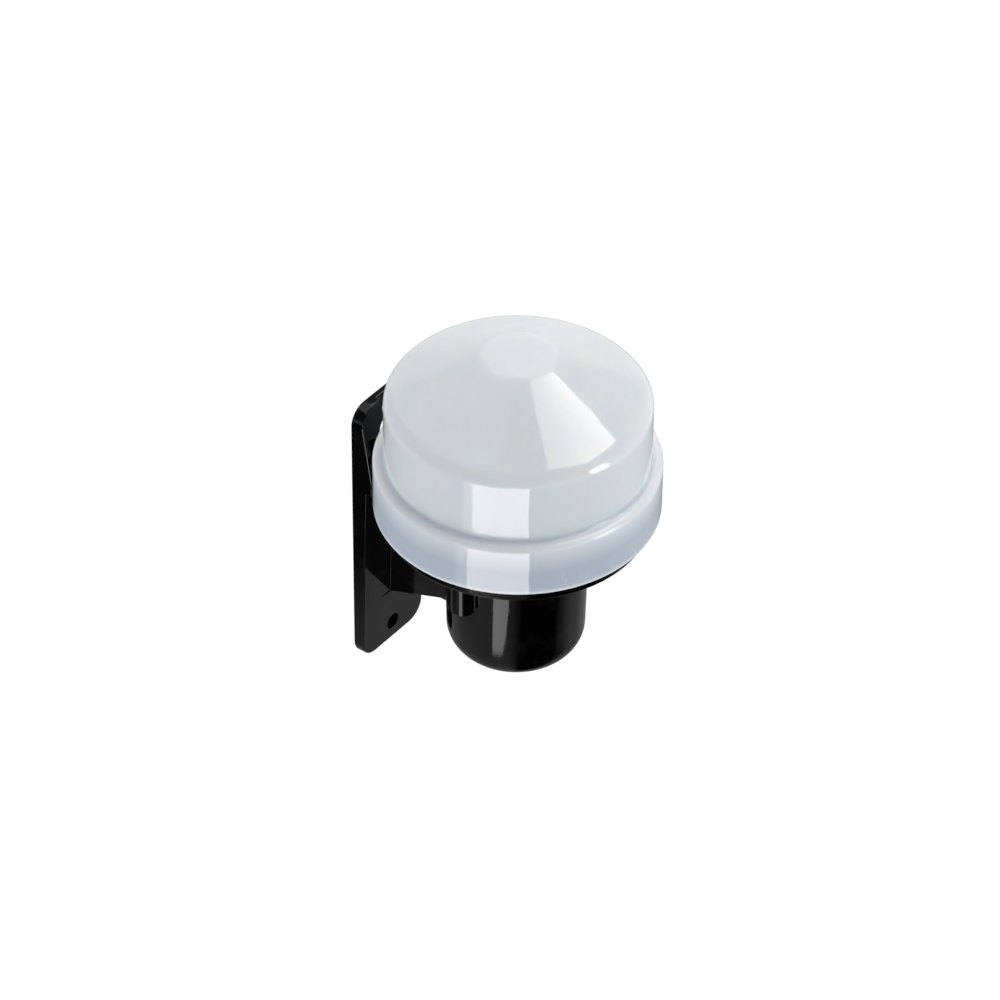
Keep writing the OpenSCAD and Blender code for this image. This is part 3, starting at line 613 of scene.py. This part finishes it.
class PHOTOCELL_OT_housing(bpy.types.Operator):
    """Rounds the edges of the black housing."""

    bl_idname = "photocell.housing"
    bl_label = "Black housing"

    def execute(self, context):
        housing = context.scene.photocell_housing
        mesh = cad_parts["base_housing"].data.copy()
        mesh.name = "black_housing"
        work = bmesh.new()
        work.from_mesh(mesh)
        # The loose triangles are welded, and flat ones joined, so that the rounding meets whole faces
        flat = math.radians(0.3)
        bmesh.ops.remove_doubles(work, verts=work.verts, dist=0.001 * MM)
        bmesh.ops.dissolve_limit(work, angle_limit=flat, verts=work.verts, edges=work.edges)
        holes = self.hole_axes(housing)
        for face in work.faces:
            face.material_index = int(self.in_hole(face, holes))
        mesh.materials.clear()
        mesh.materials.append(black_plastic(housing.colour))
        mesh.materials.append(bore_plastic(housing.colour))
        work.to_mesh(mesh)
        work.free()
        carrier = bpy.data.objects.new("housing_seed", mesh)
        context.scene.collection.objects.link(carrier)
        bevel = carrier.modifiers.new("Edges", "BEVEL")
        bevel.width = housing.edge_width
        bevel.segments = 3
        bevel.limit_method = "ANGLE"
        bevel.angle_limit = math.radians(38)
        bevel.use_clamp_overlap = False
        weighted = carrier.modifiers.new("Normals", "WEIGHTED_NORMAL")
        weighted.keep_sharp = False
        mesh.shade_smooth()
        graph = context.evaluated_depsgraph_get()
        result = bpy.data.meshes.new_from_object(carrier.evaluated_get(graph), depsgraph=graph)
        bpy.data.objects.remove(carrier)
        plain_piece("black_housing", result, "base", "black_housing", "base_housing")
        return {"FINISHED"}

    def hole_axes(self, housing):
        """Height and reach of the plate's fixing hole and of the keyhole's two ends."""
        low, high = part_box("base_housing")
        margin = 0.6 * MM
        key = high.z - housing.key_drop
        reach = housing.hole_width / 2 + margin
        wide = housing.key_width / 2 + margin
        return ((low.z + housing.hole_up, reach), (key, reach), (key - housing.key_travel, wide))

    def in_hole(self, face, holes):
        """Whether a face is in the wall of one of the plate's holes."""
        spot = face.calc_center_median()
        upright = abs(face.normal.y) < 0.1
        return upright and any(math.hypot(spot.x, spot.z - z) < reach for z, reach in holes)


class PHOTOCELL_OT_seals(bpy.types.Operator):
    """Dresses the seal under the dome and the cable grommet."""

    bl_idname = "photocell.seals"
    bl_label = "Seal and grommet"

    def execute(self, context):
        # Dull black with a fine, soft grain
        colour = context.scene.photocell_housing.rubber
        rubber = moulded("EPDM rubber, moulded", colour, 0.6, grain_mm=0.3, depth_mm=0.01)
        dress("dome_seal", rubber)
        dress("cable_grommet", rubber)
        return {"FINISHED"}


class PHOTOCELL_OT_board(bpy.types.Operator):
    """Dresses the board and lays its tracks, printed outlines and solder joints."""

    bl_idname = "photocell.board"
    bl_label = "Board"

    # Places in millimetres from the dome's axis: diodes, resistors, their rows, transistor and chip
    diode_x = -11.2
    resistor_x = 11.4
    rows = [7.6 - 3.0 * i for i in range(4)]
    zener_y = -4.4
    transistor = (11.4, -4.8)
    chip = (-14.2, -12.2)
    # Reach of a diode's, a resistor's and the chip's leads, and spacing of the chip's legs
    diode_reach = 3.7
    resistor_reach = 3.9
    chip_reach = 3.3
    pitch = 2.54
    # Thickness of a track and of the print, and height of a solder joint
    track_mm = 0.06
    print_mm = 0.04
    joint_mm = 0.45

    def execute(self, context):
        board = context.scene.photocell_board
        # Satin green, faintly cloudy
        mask = moulded("Solder mask on laminate", board.mask, 0.35, grain_mm=0.6, depth_mm=0.01)
        dress("circuit_board", mask)
        # The same lacquer over copper: paler and a little glossier
        copper = moulded("Solder mask over copper", board.copper, 0.3, grain_mm=0.8, depth_mm=0.005)
        # Flat, slightly uneven white
        ink = moulded("White printing ink", linear("E4E6E0"), 0.6, grain_mm=0.4, depth_mm=0.002)
        # Bright silver, a little frosted
        solder = metal("Tin solder", linear("C6C8C8"), 0.25)
        tracks = ribbon_mesh("board_tracks", self.tracks(), board.track_width, self.track_mm * MM, copper)
        plain_piece("board_tracks", tracks, "base", "board_laminate")
        prints = ribbon_mesh("board_print", self.outlines(), board.print_width, self.print_mm * MM, ink)
        plain_piece("board_print", prints, "base", "board_laminate")
        values = {"Radius": board.joint_radius, "Height": self.joint_mm * MM, "Material": solder}
        joints = grown_mesh("solder_joints", self.feet(), [], joint_tree(), values)
        smooth(joints, math.radians(50))
        plain_piece("solder_joints", joints, "base", "screw_steel")
        return {"FINISHED"}

    def tracks(self):
        """Routes of the copper tracks: a ring round the board, the rows' feeds and single runs."""
        up = self.track_mm / 2
        runs = [
            ((-17.5, 7.6), (-17.5, -1.4), (-19.6, -3.5), (-19.6, -5.0)),
            ((-6.6, 9.4), (-6.6, -4.4), (-8.3, -6.1), (-8.3, -15.4), (-5.1, -17.0)),
            ((17.2, 7.6), (17.2, -1.4), (20.1, -4.3), (23.9, -4.3)),
            ((6.6, 9.4), (6.6, -6.0), (8.3, -7.7), (8.3, -15.4), (5.1, -17.0)),
        ]
        for y in self.rows:
            runs += [((-17.5, y), (-14.9, y)), ((-7.5, y), (-6.6, y))]
            runs += [((17.2, y), (15.3, y)), ((7.5, y), (6.6, y))]
        runs += [
            ((-18.0, -8.9), (-18.0, -6.4), (-16.0, -4.4), (-14.9, -4.4)),
            ((-10.4, -8.9), (-10.4, -7.0), (-7.8, -4.4)),
            ((12.7, -4.8), (15.0, -6.6), (15.0, -8.2)),
            ((16.4, -21.1), (21.3, -16.2), (23.9, -9.3)),
        ]
        return [ring_route(0, 0, 29.0, up, 96)] + [line_route(up, *run) for run in runs]

    def outlines(self):
        """Routes of the outlines printed round the parts."""
        up = self.print_mm / 2
        boxes = [
            (0.6, 9.5, 20.0, 20.7), (-19.6, 9.5, -0.6, 19.0), (-19.4, -16.4, -9.0, -8.0),
            (9.8, -18.2, 20.2, -7.8), (-8.1, -26.0, 8.1, -17.0), (21.6, -11.2, 26.2, -2.4),
        ]
        rings = [
            (0, 23.95, 3.6), (-12.42, -20.1, 2.9), (13.22, -21.1, 2.6), (-23.09, -6.6, 4.5),
            (0, 0, 6.5), (11.4, -4.8, 2.8),
        ]
        routes = [box_route(*box, up) for box in boxes] + [ring_route(*ring, up) for ring in rings]
        half = 1.2
        for y in self.rows:
            routes.append(box_route(-13.8, y - half, -8.6, y + half, up))
            routes.append(box_route(8.5, y - half, 14.3, y + half, up))
        routes.append(box_route(-13.4, -5.5, -9.0, -3.3, up))
        return routes

    def feet(self):
        """Places of the solder joints: diodes, resistors, transistor, chip, and the bent leads."""
        sides = (-1, 1)
        spots = []
        for middle, reach, rows in (
                (self.diode_x, self.diode_reach, (*self.rows, self.zener_y)),
                (self.resistor_x, self.resistor_reach, self.rows)):
            spots += [(middle + side * reach, y) for y in rows for side in sides]
        x, y = self.transistor
        spots += [(x + side * self.pitch / 2, y) for side in sides]
        x, y = self.chip
        legs = [(i - 1.5) * self.pitch for i in range(4)]
        spots += [(x + leg, y + side * self.chip_reach) for leg in legs for side in sides]
        spots += [(16.42, -21.1), (23.89, -4.3), (23.89, -9.3)]
        return [on_board(x, y) for x, y in spots]


class PHOTOCELL_OT_fasteners(bpy.types.Operator):
    """Dresses the screws and the terminals."""

    bl_idname = "photocell.fasteners"
    bl_label = "Screws and terminals"

    def execute(self, context):
        # Pale grey and softly mirrored
        steel = metal("Zinc-plated steel", linear("C2C4C6"), 0.3)
        dress("board_screws", steel)
        dress("terminal_screws", steel)
        # Warm yellow and softly mirrored
        dress("terminal_clamps", metal("Bright brass", linear("C9A24A"), 0.28))
        # Satin green, a little waxy
        colour = context.scene.photocell_board.terminal
        dress("terminal_block", moulded("Green polyamide", colour, 0.45, grain_mm=0.4, depth_mm=0.01))
        return {"FINISHED"}


class PHOTOCELL_OT_sensor(bpy.types.Operator):
    """Dresses the light sensor and its post and lays the sensor's track."""

    bl_idname = "photocell.sensor"
    bl_label = "Light sensor"

    def execute(self, context):
        # Milky white, satin
        nylon = moulded("White nylon, moulded", linear("E6E3DA"), 0.4, grain_mm=0.4, depth_mm=0.01)
        dress("sensor_post", nylon)
        low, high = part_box("light_sensor")
        # Cream under a wet-looking lacquer, with bright leads below
        disc = 2.15 * MM
        leads = tinned(slab("Z", low.z, high.z - low.z - disc))
        ceramic = moulded("Ceramic, lacquered", linear("D8C8A6"), 0.25, 0.3, 0.01, (leads,))
        dress("light_sensor", ceramic)
        # Brick red, satin
        width = 0.32 * MM
        thickness = 0.05 * MM
        film = moulded("Cadmium sulphide film", linear("A8401F"), 0.35, grain_mm=0.15, depth_mm=0.01)
        mesh = ribbon_mesh("sensor_track", [self.winding(low, high)], width, thickness, film)
        plain_piece("sensor_track", mesh, "base", "sensor_ceramic")
        return {"FINISHED"}

    def winding(self, low, high):
        """Route of the track, to and fro across the sensor's round face."""
        radius = (high.x - low.x) / 2 / MM
        rows = 7
        spacing = 0.23 * radius
        limit = 0.8 * radius
        spots = []
        for i in range(rows):
            y = (i - (rows - 1) / 2) * spacing
            reach = math.sqrt(limit ** 2 - y * y)
            spots += [(-reach, y), (reach, y)] if i % 2 else [(reach, y), (-reach, y)]
        return line_route((high.z - BOARD_TOP) / MM, *spots)


class PHOTOCELL_OT_tall_parts(bpy.types.Operator):
    """Dresses the relay, the capacitors, the fuse, the varistor and the power resistor."""

    bl_idname = "photocell.tall_parts"
    bl_label = "Tall parts"

    def execute(self, context):
        board = context.scene.photocell_board
        # Satin blue
        dress("relay", moulded("Blue PBT, moulded", board.relay, 0.4, grain_mm=0.4, depth_mm=0.01))
        # Glossy yellow
        box = moulded("Yellow film box", board.film, 0.25, grain_mm=0.5, depth_mm=0.01)
        dress("dropper_capacitor", box)
        self.can("smoothing_capacitor", "Blue shrunk sleeve", linear("25366A"), (0.6, -0.8, 0.0))
        self.can("delay_capacitor", "Black shrunk sleeve", linear("202024"), (-0.8, -0.6, 0.0))
        # Satin black with a slight pitting
        dress("fuse", moulded("Black epoxy, cast", linear("1F1F22"), 0.4, grain_mm=0.25, depth_mm=0.02))
        # Glossy blue, uneven as dipped, on bright legs
        bare_leg = 1.15 * MM
        legs = tinned(slab("Z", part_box("varistor")[0].z, bare_leg))
        dress("varistor", moulded("Blue epoxy dip", linear("3F6FB5"), 0.3, 0.6, 0.02, (legs,)))
        self.upright_resistor()
        return {"FINISHED"}

    def can(self, node, name, colour, stripe):
        """A wound capacitor: glossy sleeve, pale stripe on one side, bright aluminium lid."""
        low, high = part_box(node)
        centre = (low + high) / 2
        radius = (high.x - low.x) / 2
        rim = 0.75 * MM
        mark = painted(beyond(centre, stripe, radius * 0.9), linear("D5D9DC"), 0.3)
        lid = (pillar(centre, radius - rim), linear("CFD1D2"), 1.0, 0.28)
        dress(node, moulded(name, colour, 0.25, 0.5, 0.005, (mark, lid)))

    def upright_resistor(self):
        """The power resistor: rough grey cement, painted bands, a bright lead bent down beside it."""
        low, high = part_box("power_resistor")
        radius = (high.y - low.y) / 2
        centre = Vector((low.x + radius, low.y + radius, low.z))
        bands = ((4.0, "6B3A1E"), (5.6, "17130F"), (7.2, "17130F"), (9.6, "B8923A"))
        half = 0.45 * MM
        play = 0.02 * MM
        bare_top = 1.35 * MM
        patches = [painted(slab("Z", low.z + up * MM, half), linear(colour), 0.5) for up, colour in bands]
        patches.append(tinned(pillar(centre, radius + play, True)))
        patches.append(tinned(slab("Z", high.z, bare_top)))
        dress("power_resistor", moulded("Grey cement coat", linear("7D8F9C"), 0.6, 0.2, 0.03, patches))


class PHOTOCELL_OT_small_parts(bpy.types.Operator):
    """Dresses the diodes, the resistors, the transistor, the chip and the trimmer."""

    bl_idname = "photocell.small_parts"
    bl_label = "Small parts"

    def execute(self, context):
        silver = linear("D4D6D8")
        black = linear("1F1F22")
        # Satin black with a silver ring
        self.axial("rectifier_diodes", "Black epoxy, moulded", black, 0.5, 4.6, ((1.5, 0.35, silver),))
        # Glassy amber with a black ring
        self.axial("zener_diode", "Amber glass", linear("B4532E"), 0.12, 3.8, ((1.2, 0.25, black),))
        # Glossy tan with brown, black, orange and gold rings
        rings = ((-1.75, "6B3A1E"), (-0.85, "17130F"), (0.05, "C2571B"), (1.7, "B8923A"))
        bands = [(at, 0.26, linear(colour)) for at, colour in rings]
        self.axial("resistors", "Tan lacquer", linear("CDB58A"), 0.3, 5.2, bands)
        # Matt black on bright legs
        bare_leg = 1.78 * MM
        legs = tinned(slab("Z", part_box("driver_transistor")[0].z, bare_leg))
        dress("driver_transistor", moulded("Black epoxy, matt", black, 0.6, 0.25, 0.02, (legs,)))
        # Black with the tool's fine grain, between two rows of bright legs
        low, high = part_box("controller_chip")
        half_case = 3.17 * MM
        stand = 0.58 * MM
        sides = tinned(slab("Y", (low.y + high.y) / 2, half_case, True))
        feet = tinned(slab("Z", low.z, stand))
        dress("controller_chip", moulded("Black epoxy, eroded tool", black, 0.55, 0.2, 0.02, (sides, feet)))
        # Satin blue case and satin off-white dial
        case = moulded("Blue trimmer case", linear("2F62B5"), 0.4, grain_mm=0.4, depth_mm=0.01)
        dress("trimmer_body", case)
        dial = moulded("White acetal, moulded", linear("E9E7E0"), 0.35, grain_mm=0.4, depth_mm=0.01)
        dress("trimmer_dial", dial)
        return {"FINISHED"}

    def axial(self, node, name, colour, roughness, length_mm, bands):
        """A part lying along X, with tinned leads and coloured bands given from its middle."""
        low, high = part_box(node)
        middle = (low.x + high.x) / 2
        patches = [painted(slab("X", middle + at * MM, half * MM), tone, 0.35) for at, half, tone in bands]
        play = 0.01 * MM
        patches.append(tinned(slab("X", middle, length_mm / 2 * MM - play, True)))
        dress(node, moulded(name, colour, roughness, 0.3, 0.008, patches))


def stage_point(stage, right_mm, away_mm, up_mm):
    """A point given from the dome's foot along the camera's right, away from the camera, and up."""
    right = Vector((math.cos(stage.azimuth), math.sin(stage.azimuth), 0.0))
    away = Vector((-math.sin(stage.azimuth), math.cos(stage.azimuth), 0.0))
    return AXIS + (right * right_mm + away * away_mm + Vector((0.0, 0.0, up_mm))) * MM


def glow(name, colour, strength):
    """A plain light-giving surface."""
    material, tree = new_material(name)
    light = add_node(tree, "ShaderNodeEmission", {"Color": rgba(colour), "Strength": strength})
    return shown(material, light)


def stage_axes(tree, stage):
    """A point's places from the dome's foot: X along the camera's right, Y away from the camera."""
    place = add_node(tree, "ShaderNodeTexCoord")
    turned = add_node(tree, "ShaderNodeMapping", {"Location": AXIS, "Rotation": (0, 0, stage.azimuth)},
                      {"Vector": place.outputs["Object"]}, vector_type="TEXTURE")
    return add_node(tree, "ShaderNodeSeparateXYZ", None, {0: turned}).outputs


def graded_glow(name, colour, stage, axis, from_mm, to_mm, low, high):
    """A light-giving surface graded along the camera's right (X) or away from the camera (Y)."""
    material, tree = new_material(name)
    level = add_node(tree, "ShaderNodeMapRange", {
        "From Min": from_mm * MM, "From Max": to_mm * MM, "To Min": low, "To Max": high,
    }, {"Value": stage_axes(tree, stage)[axis]})
    light = add_node(tree, "ShaderNodeEmission", {"Color": rgba(colour)}, {"Strength": level})
    return shown(material, light)


def card(name, corners, material, reflected_only=False):
    """A flat studio card between its corners, unseen by the camera itself."""
    mesh = bpy.data.meshes.new(name)
    mesh.from_pydata(corners, [], [list(range(len(corners)))])
    mesh.materials.append(material)
    sheet = bpy.data.objects.new(name, mesh)
    bpy.context.scene.collection.objects.link(sheet)
    sheet.visible_camera = False
    if reflected_only:
        sheet.visible_diffuse = False
        sheet.visible_shadow = False
        sheet.visible_transmission = False
    return sheet


def level_card(name, stage, outline, up_mm, material, reflected_only=False):
    """A level card, its outline given along the camera's right and away from the camera."""
    corners = [stage_point(stage, x, y, up_mm) for x, y in outline]
    return card(name, corners, material, reflected_only)


def facing_card(name, stage, direction, distance_mm, width_mm, height_mm, material, reflected_only=False):
    """A card at a distance in a direction from the dome, facing it, level with the horizon."""
    out = Vector(direction).normalized()
    side = Vector((-out.y, out.x, 0.0)).normalized()
    rise = out.cross(side)
    corners = []
    for x, y in ((-1, -1), (1, -1), (1, 1), (-1, 1)):
        spot = out * distance_mm + side * (x * width_mm / 2) + rise * (y * height_mm / 2)
        corners.append(stage_point(stage, spot.x, spot.y, spot.z))
    card(name, corners, material, reflected_only)


class PHOTOCELL_OT_stage(bpy.types.Operator):
    """Sets the camera, the floor and the studio light."""

    bl_idname = "photocell.stage"
    bl_label = "Stage"

    def execute(self, context):
        stage = context.scene.photocell_stage
        self.camera(context, stage)
        self.floor(stage)
        self.lights(stage)
        self.surroundings(context, stage)
        context.scene.view_settings.view_transform = "Standard"
        return {"FINISHED"}

    def camera(self, context, stage):
        """The photo's camera."""
        data = bpy.data.cameras.new("photo_camera")
        data.sensor_width = 36.0
        data.lens = stage.lens
        eye = bpy.data.objects.new("photo_camera", data)
        context.scene.collection.objects.link(eye)
        level = math.cos(stage.elevation)
        back = Vector((math.sin(stage.azimuth) * level, -math.cos(stage.azimuth) * level,
                       math.sin(stage.elevation)))
        # The point in the middle of the picture, from the dome's foot
        target = AXIS + Vector((-2.695, 3.583, 0.089)) * MM
        eye.location = target + back * stage.distance
        eye.rotation_mode = "QUATERNION"
        roll = Matrix.Rotation(stage.roll, 3, "Z").to_quaternion()
        eye.rotation_quaternion = back.to_track_quat("Z", "Y") @ roll
        context.scene.camera = eye

    def floor(self, stage):
        """A floor that is white to the camera and a graded sheet to the glossy pieces."""
        material, tree = new_material("Pale floor")
        path = add_node(tree, "ShaderNodeLightPath")
        # The camera sees a white floor with a faint shadow
        matt = add_node(tree, "ShaderNodeBsdfDiffuse", {"Color": (0.8, 0.8, 0.8, 1.0)})
        white = add_node(tree, "ShaderNodeEmission", {"Strength": 1.07})
        lit = add_node(tree, "ShaderNodeMixShader", {0: 0.9}, {1: matt, 2: white})
        # Reflections see a grey sheet, black in front: angles in degrees from there to the right
        axes = stage_axes(tree, stage)
        front = add_node(tree, "ShaderNodeMath", {1: -1.0}, {0: axes["Y"]}, operation="MULTIPLY")
        angle = add_node(tree, "ShaderNodeMath", None, {0: axes["X"], 1: front}, operation="ARCTAN2")
        left, right, under = (
            add_node(tree, "ShaderNodeMapRange", {
                "From Min": math.radians(start), "From Max": math.radians(end),
                "To Min": stage.sheet * low, "To Max": stage.sheet * high,
            }, {"Value": angle}, interpolation_type=kind)
            for start, end, low, high, kind in (
                (-13, 8, 1.0, 0.0, "LINEAR"), (60, 98, 0.0, 0.95, "SMOOTHSTEP"),
                (105, 126, 0.0, 1.05, "LINEAR")))
        # It is dark past its left edge and white behind
        edge = add_node(tree, "ShaderNodeMapRange", {
            "From Min": -175 * MM, "From Max": -130 * MM, "To Min": 0.08, "To Max": 1.0,
        }, {"Value": axes["X"]})
        behind = add_node(tree, "ShaderNodeMapRange", {
            "From Min": 250 * MM, "From Max": 600 * MM, "To Min": 0.0, "To Max": 0.85,
        }, {"Value": axes["Y"]})
        level = add_node(tree, "ShaderNodeMath", None, {0: left, 1: edge}, operation="MULTIPLY")
        for part in (right, under, behind):
            level = add_node(tree, "ShaderNodeMath", None, {0: level, 1: part}, operation="MAXIMUM")
        toned = add_node(tree, "ShaderNodeMix", {2: stage.bounce},
                         {0: path.outputs["Is Glossy Ray"], 3: level}, data_type="FLOAT")
        sheet = add_node(tree, "ShaderNodeEmission", None, {"Strength": toned})
        # From below, the camera looks through it
        side = add_node(tree, "ShaderNodeNewGeometry")
        clear = add_node(tree, "ShaderNodeBsdfTransparent")
        faced = add_node(tree, "ShaderNodeMixShader", None,
                         {0: side.outputs["Backfacing"], 1: lit, 2: clear})
        mixed = add_node(tree, "ShaderNodeMixShader", None,
                         {0: path.outputs["Is Camera Ray"], 1: sheet, 2: faced})
        shown(material, mixed)
        reach = 2000
        outline = [(-reach, -reach), (reach, -reach), (reach, reach), (-reach, reach)]
        ground = level_card("floor", stage, outline, -stage.floor_drop / MM, material)
        ground.visible_camera = True

    def lights(self, stage):
        """Cards whose light and reflections shape the dome and the housing."""
        # Heights of the cards that lie in front and of those overhead, in millimetres like all places here
        low, high = -100, 700
        # Bright reflector lying low in front
        outline = [(-86, -120), (-55, -141), (-22, -151), (23, -152), (30, -190), (90, -480), (-330, -420),
                   (-104, -148)]
        level_card("front_reflector", stage, outline, low, glow("Front reflector", LAMP, 5.5), True)
        # Its dimmer neighbour, seen in the cup
        outline = [(-47, -67), (-30, -77), (-19, -101), (-28, -128), (-73, -107)]
        level_card("low_reflector", stage, outline, low, glow("Low reflector", WHITE, 2.4), True)
        # A dim board beside it, seen as a pale strip on the dome's wall
        outline = [(-86, -119), (-104, -148), (-330, -420), (-420, -380), (-128, -136), (-106, -110)]
        level_card("side_reflector", stage, outline, low, glow("Side reflector", LAMP, 1.3), True)
        # Softbox overhead to the right, brighter away from the middle
        outline = [(145, -170), (555, -170), (555, 420), (145, 420)]
        softbox = graded_glow("Right softbox", LAMP, stage, "X", 200, 540, 3.2, 6.9)
        level_card("right_softbox", stage, outline, high, softbox)
        # Light from the sides, not seen in reflections
        for name, x, foot, strength in (("left_fill", -900, 150, 1.5), ("right_fill", 900, -150, 0.8)):
            side = [(-450, foot), (650, foot), (650, foot + 650), (-450, foot + 650)]
            corners = [stage_point(stage, x, y, z) for y, z in side]
            sheet = card(name, corners, glow(name, WHITE, strength))
            sheet.visible_glossy = False
        # Dim ceiling to the left of the softbox, fading away from the camera
        outline = [(-380, -300), (-85, -300), (-85, 1500), (-1200, 1500), (-1200, 1000), (-760, 430),
                   (-520, 60)]
        dim = graded_glow("Left ceiling", (0.95, 0.98, 1.0), stage, "Y", 0, 1500, 0.9, 0.15)
        level_card("left_ceiling", stage, outline, high, dim, True)
        # Softbox behind, seen in the flat disc, with a dimmer halo round it
        behind = (0.0, 0.785, 0.62)
        facing_card("back_softbox", stage, behind, 1100, 500, 460, glow("Back softbox", WHITE, 1.5))
        facing_card("back_halo", stage, behind, 1150, 900, 760, glow("Back halo", LAMP, 1.3), True)
        # Dark flag before it, which keeps it out of the plate's top edge
        shade = glow("Dark flag", WHITE, 0.12)
        facing_card("plate_flag", stage, (-0.063, 0.787, 0.617), 1000, 62, 58, shade, True)
        # Tall strip to the right, seen as streaks on the dome's edges
        strip_light = glow("Right strip", WHITE, 9.0)
        facing_card("right_strip", stage, (0.89, -0.41, 0.19), 920, 250, 560, strip_light, True)
        # White backdrop, seen in the far side of the cone
        back = [(-1200, -300), (830, -300), (830, 700), (-1200, 700)]
        corners = [stage_point(stage, x, 1500, z) for x, z in back]
        card("backdrop", corners, glow("Backdrop", LAMP, 0.8), True)

    def surroundings(self, context, stage):
        """The white studio round the stage: soft light, and what lies beyond the cards in reflections."""
        world = bpy.data.worlds.new("Studio")
        context.scene.world = world
        world.use_nodes = True
        tree = world.node_tree
        tree.nodes.clear()
        path = add_node(tree, "ShaderNodeLightPath")
        place = add_node(tree, "ShaderNodeTexCoord")
        axes = add_node(tree, "ShaderNodeSeparateXYZ", None, {0: place.outputs["Generated"]})
        # Reflections see a white band at the horizon and a dim studio above it
        height = add_node(tree, "ShaderNodeMapRange", {
            "From Min": 0.0, "From Max": 0.3, "To Min": 0.5, "To Max": 0.06,
        }, {"Value": axes.outputs["Z"]})
        # Most of the soft light comes from near the horizon, less of it from the camera's left
        left = add_node(tree, "ShaderNodeVectorMath", {
            1: (-math.cos(stage.azimuth), -math.sin(stage.azimuth), 0.0),
        }, {0: place.outputs["Generated"]}, operation="DOT_PRODUCT")
        share = add_node(tree, "ShaderNodeMapRange", {
            "From Min": 0.62, "From Max": 0.99, "To Min": stage.fill * 0.97, "To Max": stage.fill * 0.35,
        }, {"Value": left.outputs["Value"]})
        lower = add_node(tree, "ShaderNodeMapRange", {
            "From Min": 0.1, "From Max": 0.8, "To Min": 1.0, "To Max": 0.45,
        }, {"Value": axes.outputs["Z"]})
        level = add_node(tree, "ShaderNodeMath", None, {0: share, 1: lower}, operation="MULTIPLY")
        plain = {"Color": rgba(WHITE), "Strength": 1.0}
        fill = add_node(tree, "ShaderNodeBackground", plain, {"Strength": level})
        shiny = add_node(tree, "ShaderNodeBackground", plain, {"Strength": height})
        white = add_node(tree, "ShaderNodeBackground", plain)
        soft = add_node(tree, "ShaderNodeMixShader", None,
                        {0: path.outputs["Is Glossy Ray"], 1: fill, 2: shiny})
        # The camera sees plain white, also through clear pieces
        seen = add_node(tree, "ShaderNodeMath", None,
                        {0: path.outputs["Is Camera Ray"], 1: path.outputs["Is Transmission Ray"]},
                        operation="MAXIMUM")
        mixed = add_node(tree, "ShaderNodeMixShader", None, {0: seen, 1: soft, 2: white})
        add_node(tree, "ShaderNodeOutputWorld", None, {"Surface": mixed})


class PHOTOCELL_PT_panel(bpy.types.Panel):
    """Lists the steps that build the looks."""

    bl_idname = "PHOTOCELL_PT_panel"
    bl_label = "Photocell switch"
    bl_space_type = "VIEW_3D"
    bl_region_type = "UI"
    bl_category = "Photocell"

    def draw(self, context):
        """One button for each step."""
        for step in STEPS:
            self.layout.operator(step.bl_idname)


STEPS = (
    PHOTOCELL_OT_stage, PHOTOCELL_OT_dome, PHOTOCELL_OT_housing, PHOTOCELL_OT_seals, PHOTOCELL_OT_board,
    PHOTOCELL_OT_fasteners, PHOTOCELL_OT_sensor, PHOTOCELL_OT_tall_parts, PHOTOCELL_OT_small_parts)
SETTINGS = {
    "photocell_dome": DomeSettings,
    "photocell_housing": HousingSettings,
    "photocell_board": BoardSettings,
    "photocell_stage": StageSettings,
}


def register():
    """Adds the steps, the settings and the panel."""
    for kind in (*SETTINGS.values(), *STEPS, PHOTOCELL_PT_panel):
        bpy.utils.register_class(kind)
    for name, kind in SETTINGS.items():
        setattr(bpy.types.Scene, name, bpy.props.PointerProperty(type=kind))


def unregister():
    """Takes them out again."""
    for name in SETTINGS:
        delattr(bpy.types.Scene, name)
    for kind in reversed((*SETTINGS.values(), *STEPS, PHOTOCELL_PT_panel)):
        bpy.utils.unregister_class(kind)


def main():
    """Builds the scene."""
    register()
    bpy.ops.photocell.stage()
    bpy.ops.photocell.dome()
    bpy.ops.photocell.housing()
    bpy.ops.photocell.seals()
    bpy.ops.photocell.board()
    bpy.ops.photocell.fasteners()
    bpy.ops.photocell.sensor()
    bpy.ops.photocell.tall_parts()
    bpy.ops.photocell.small_parts()


if __name__ == "__main__":
    main()
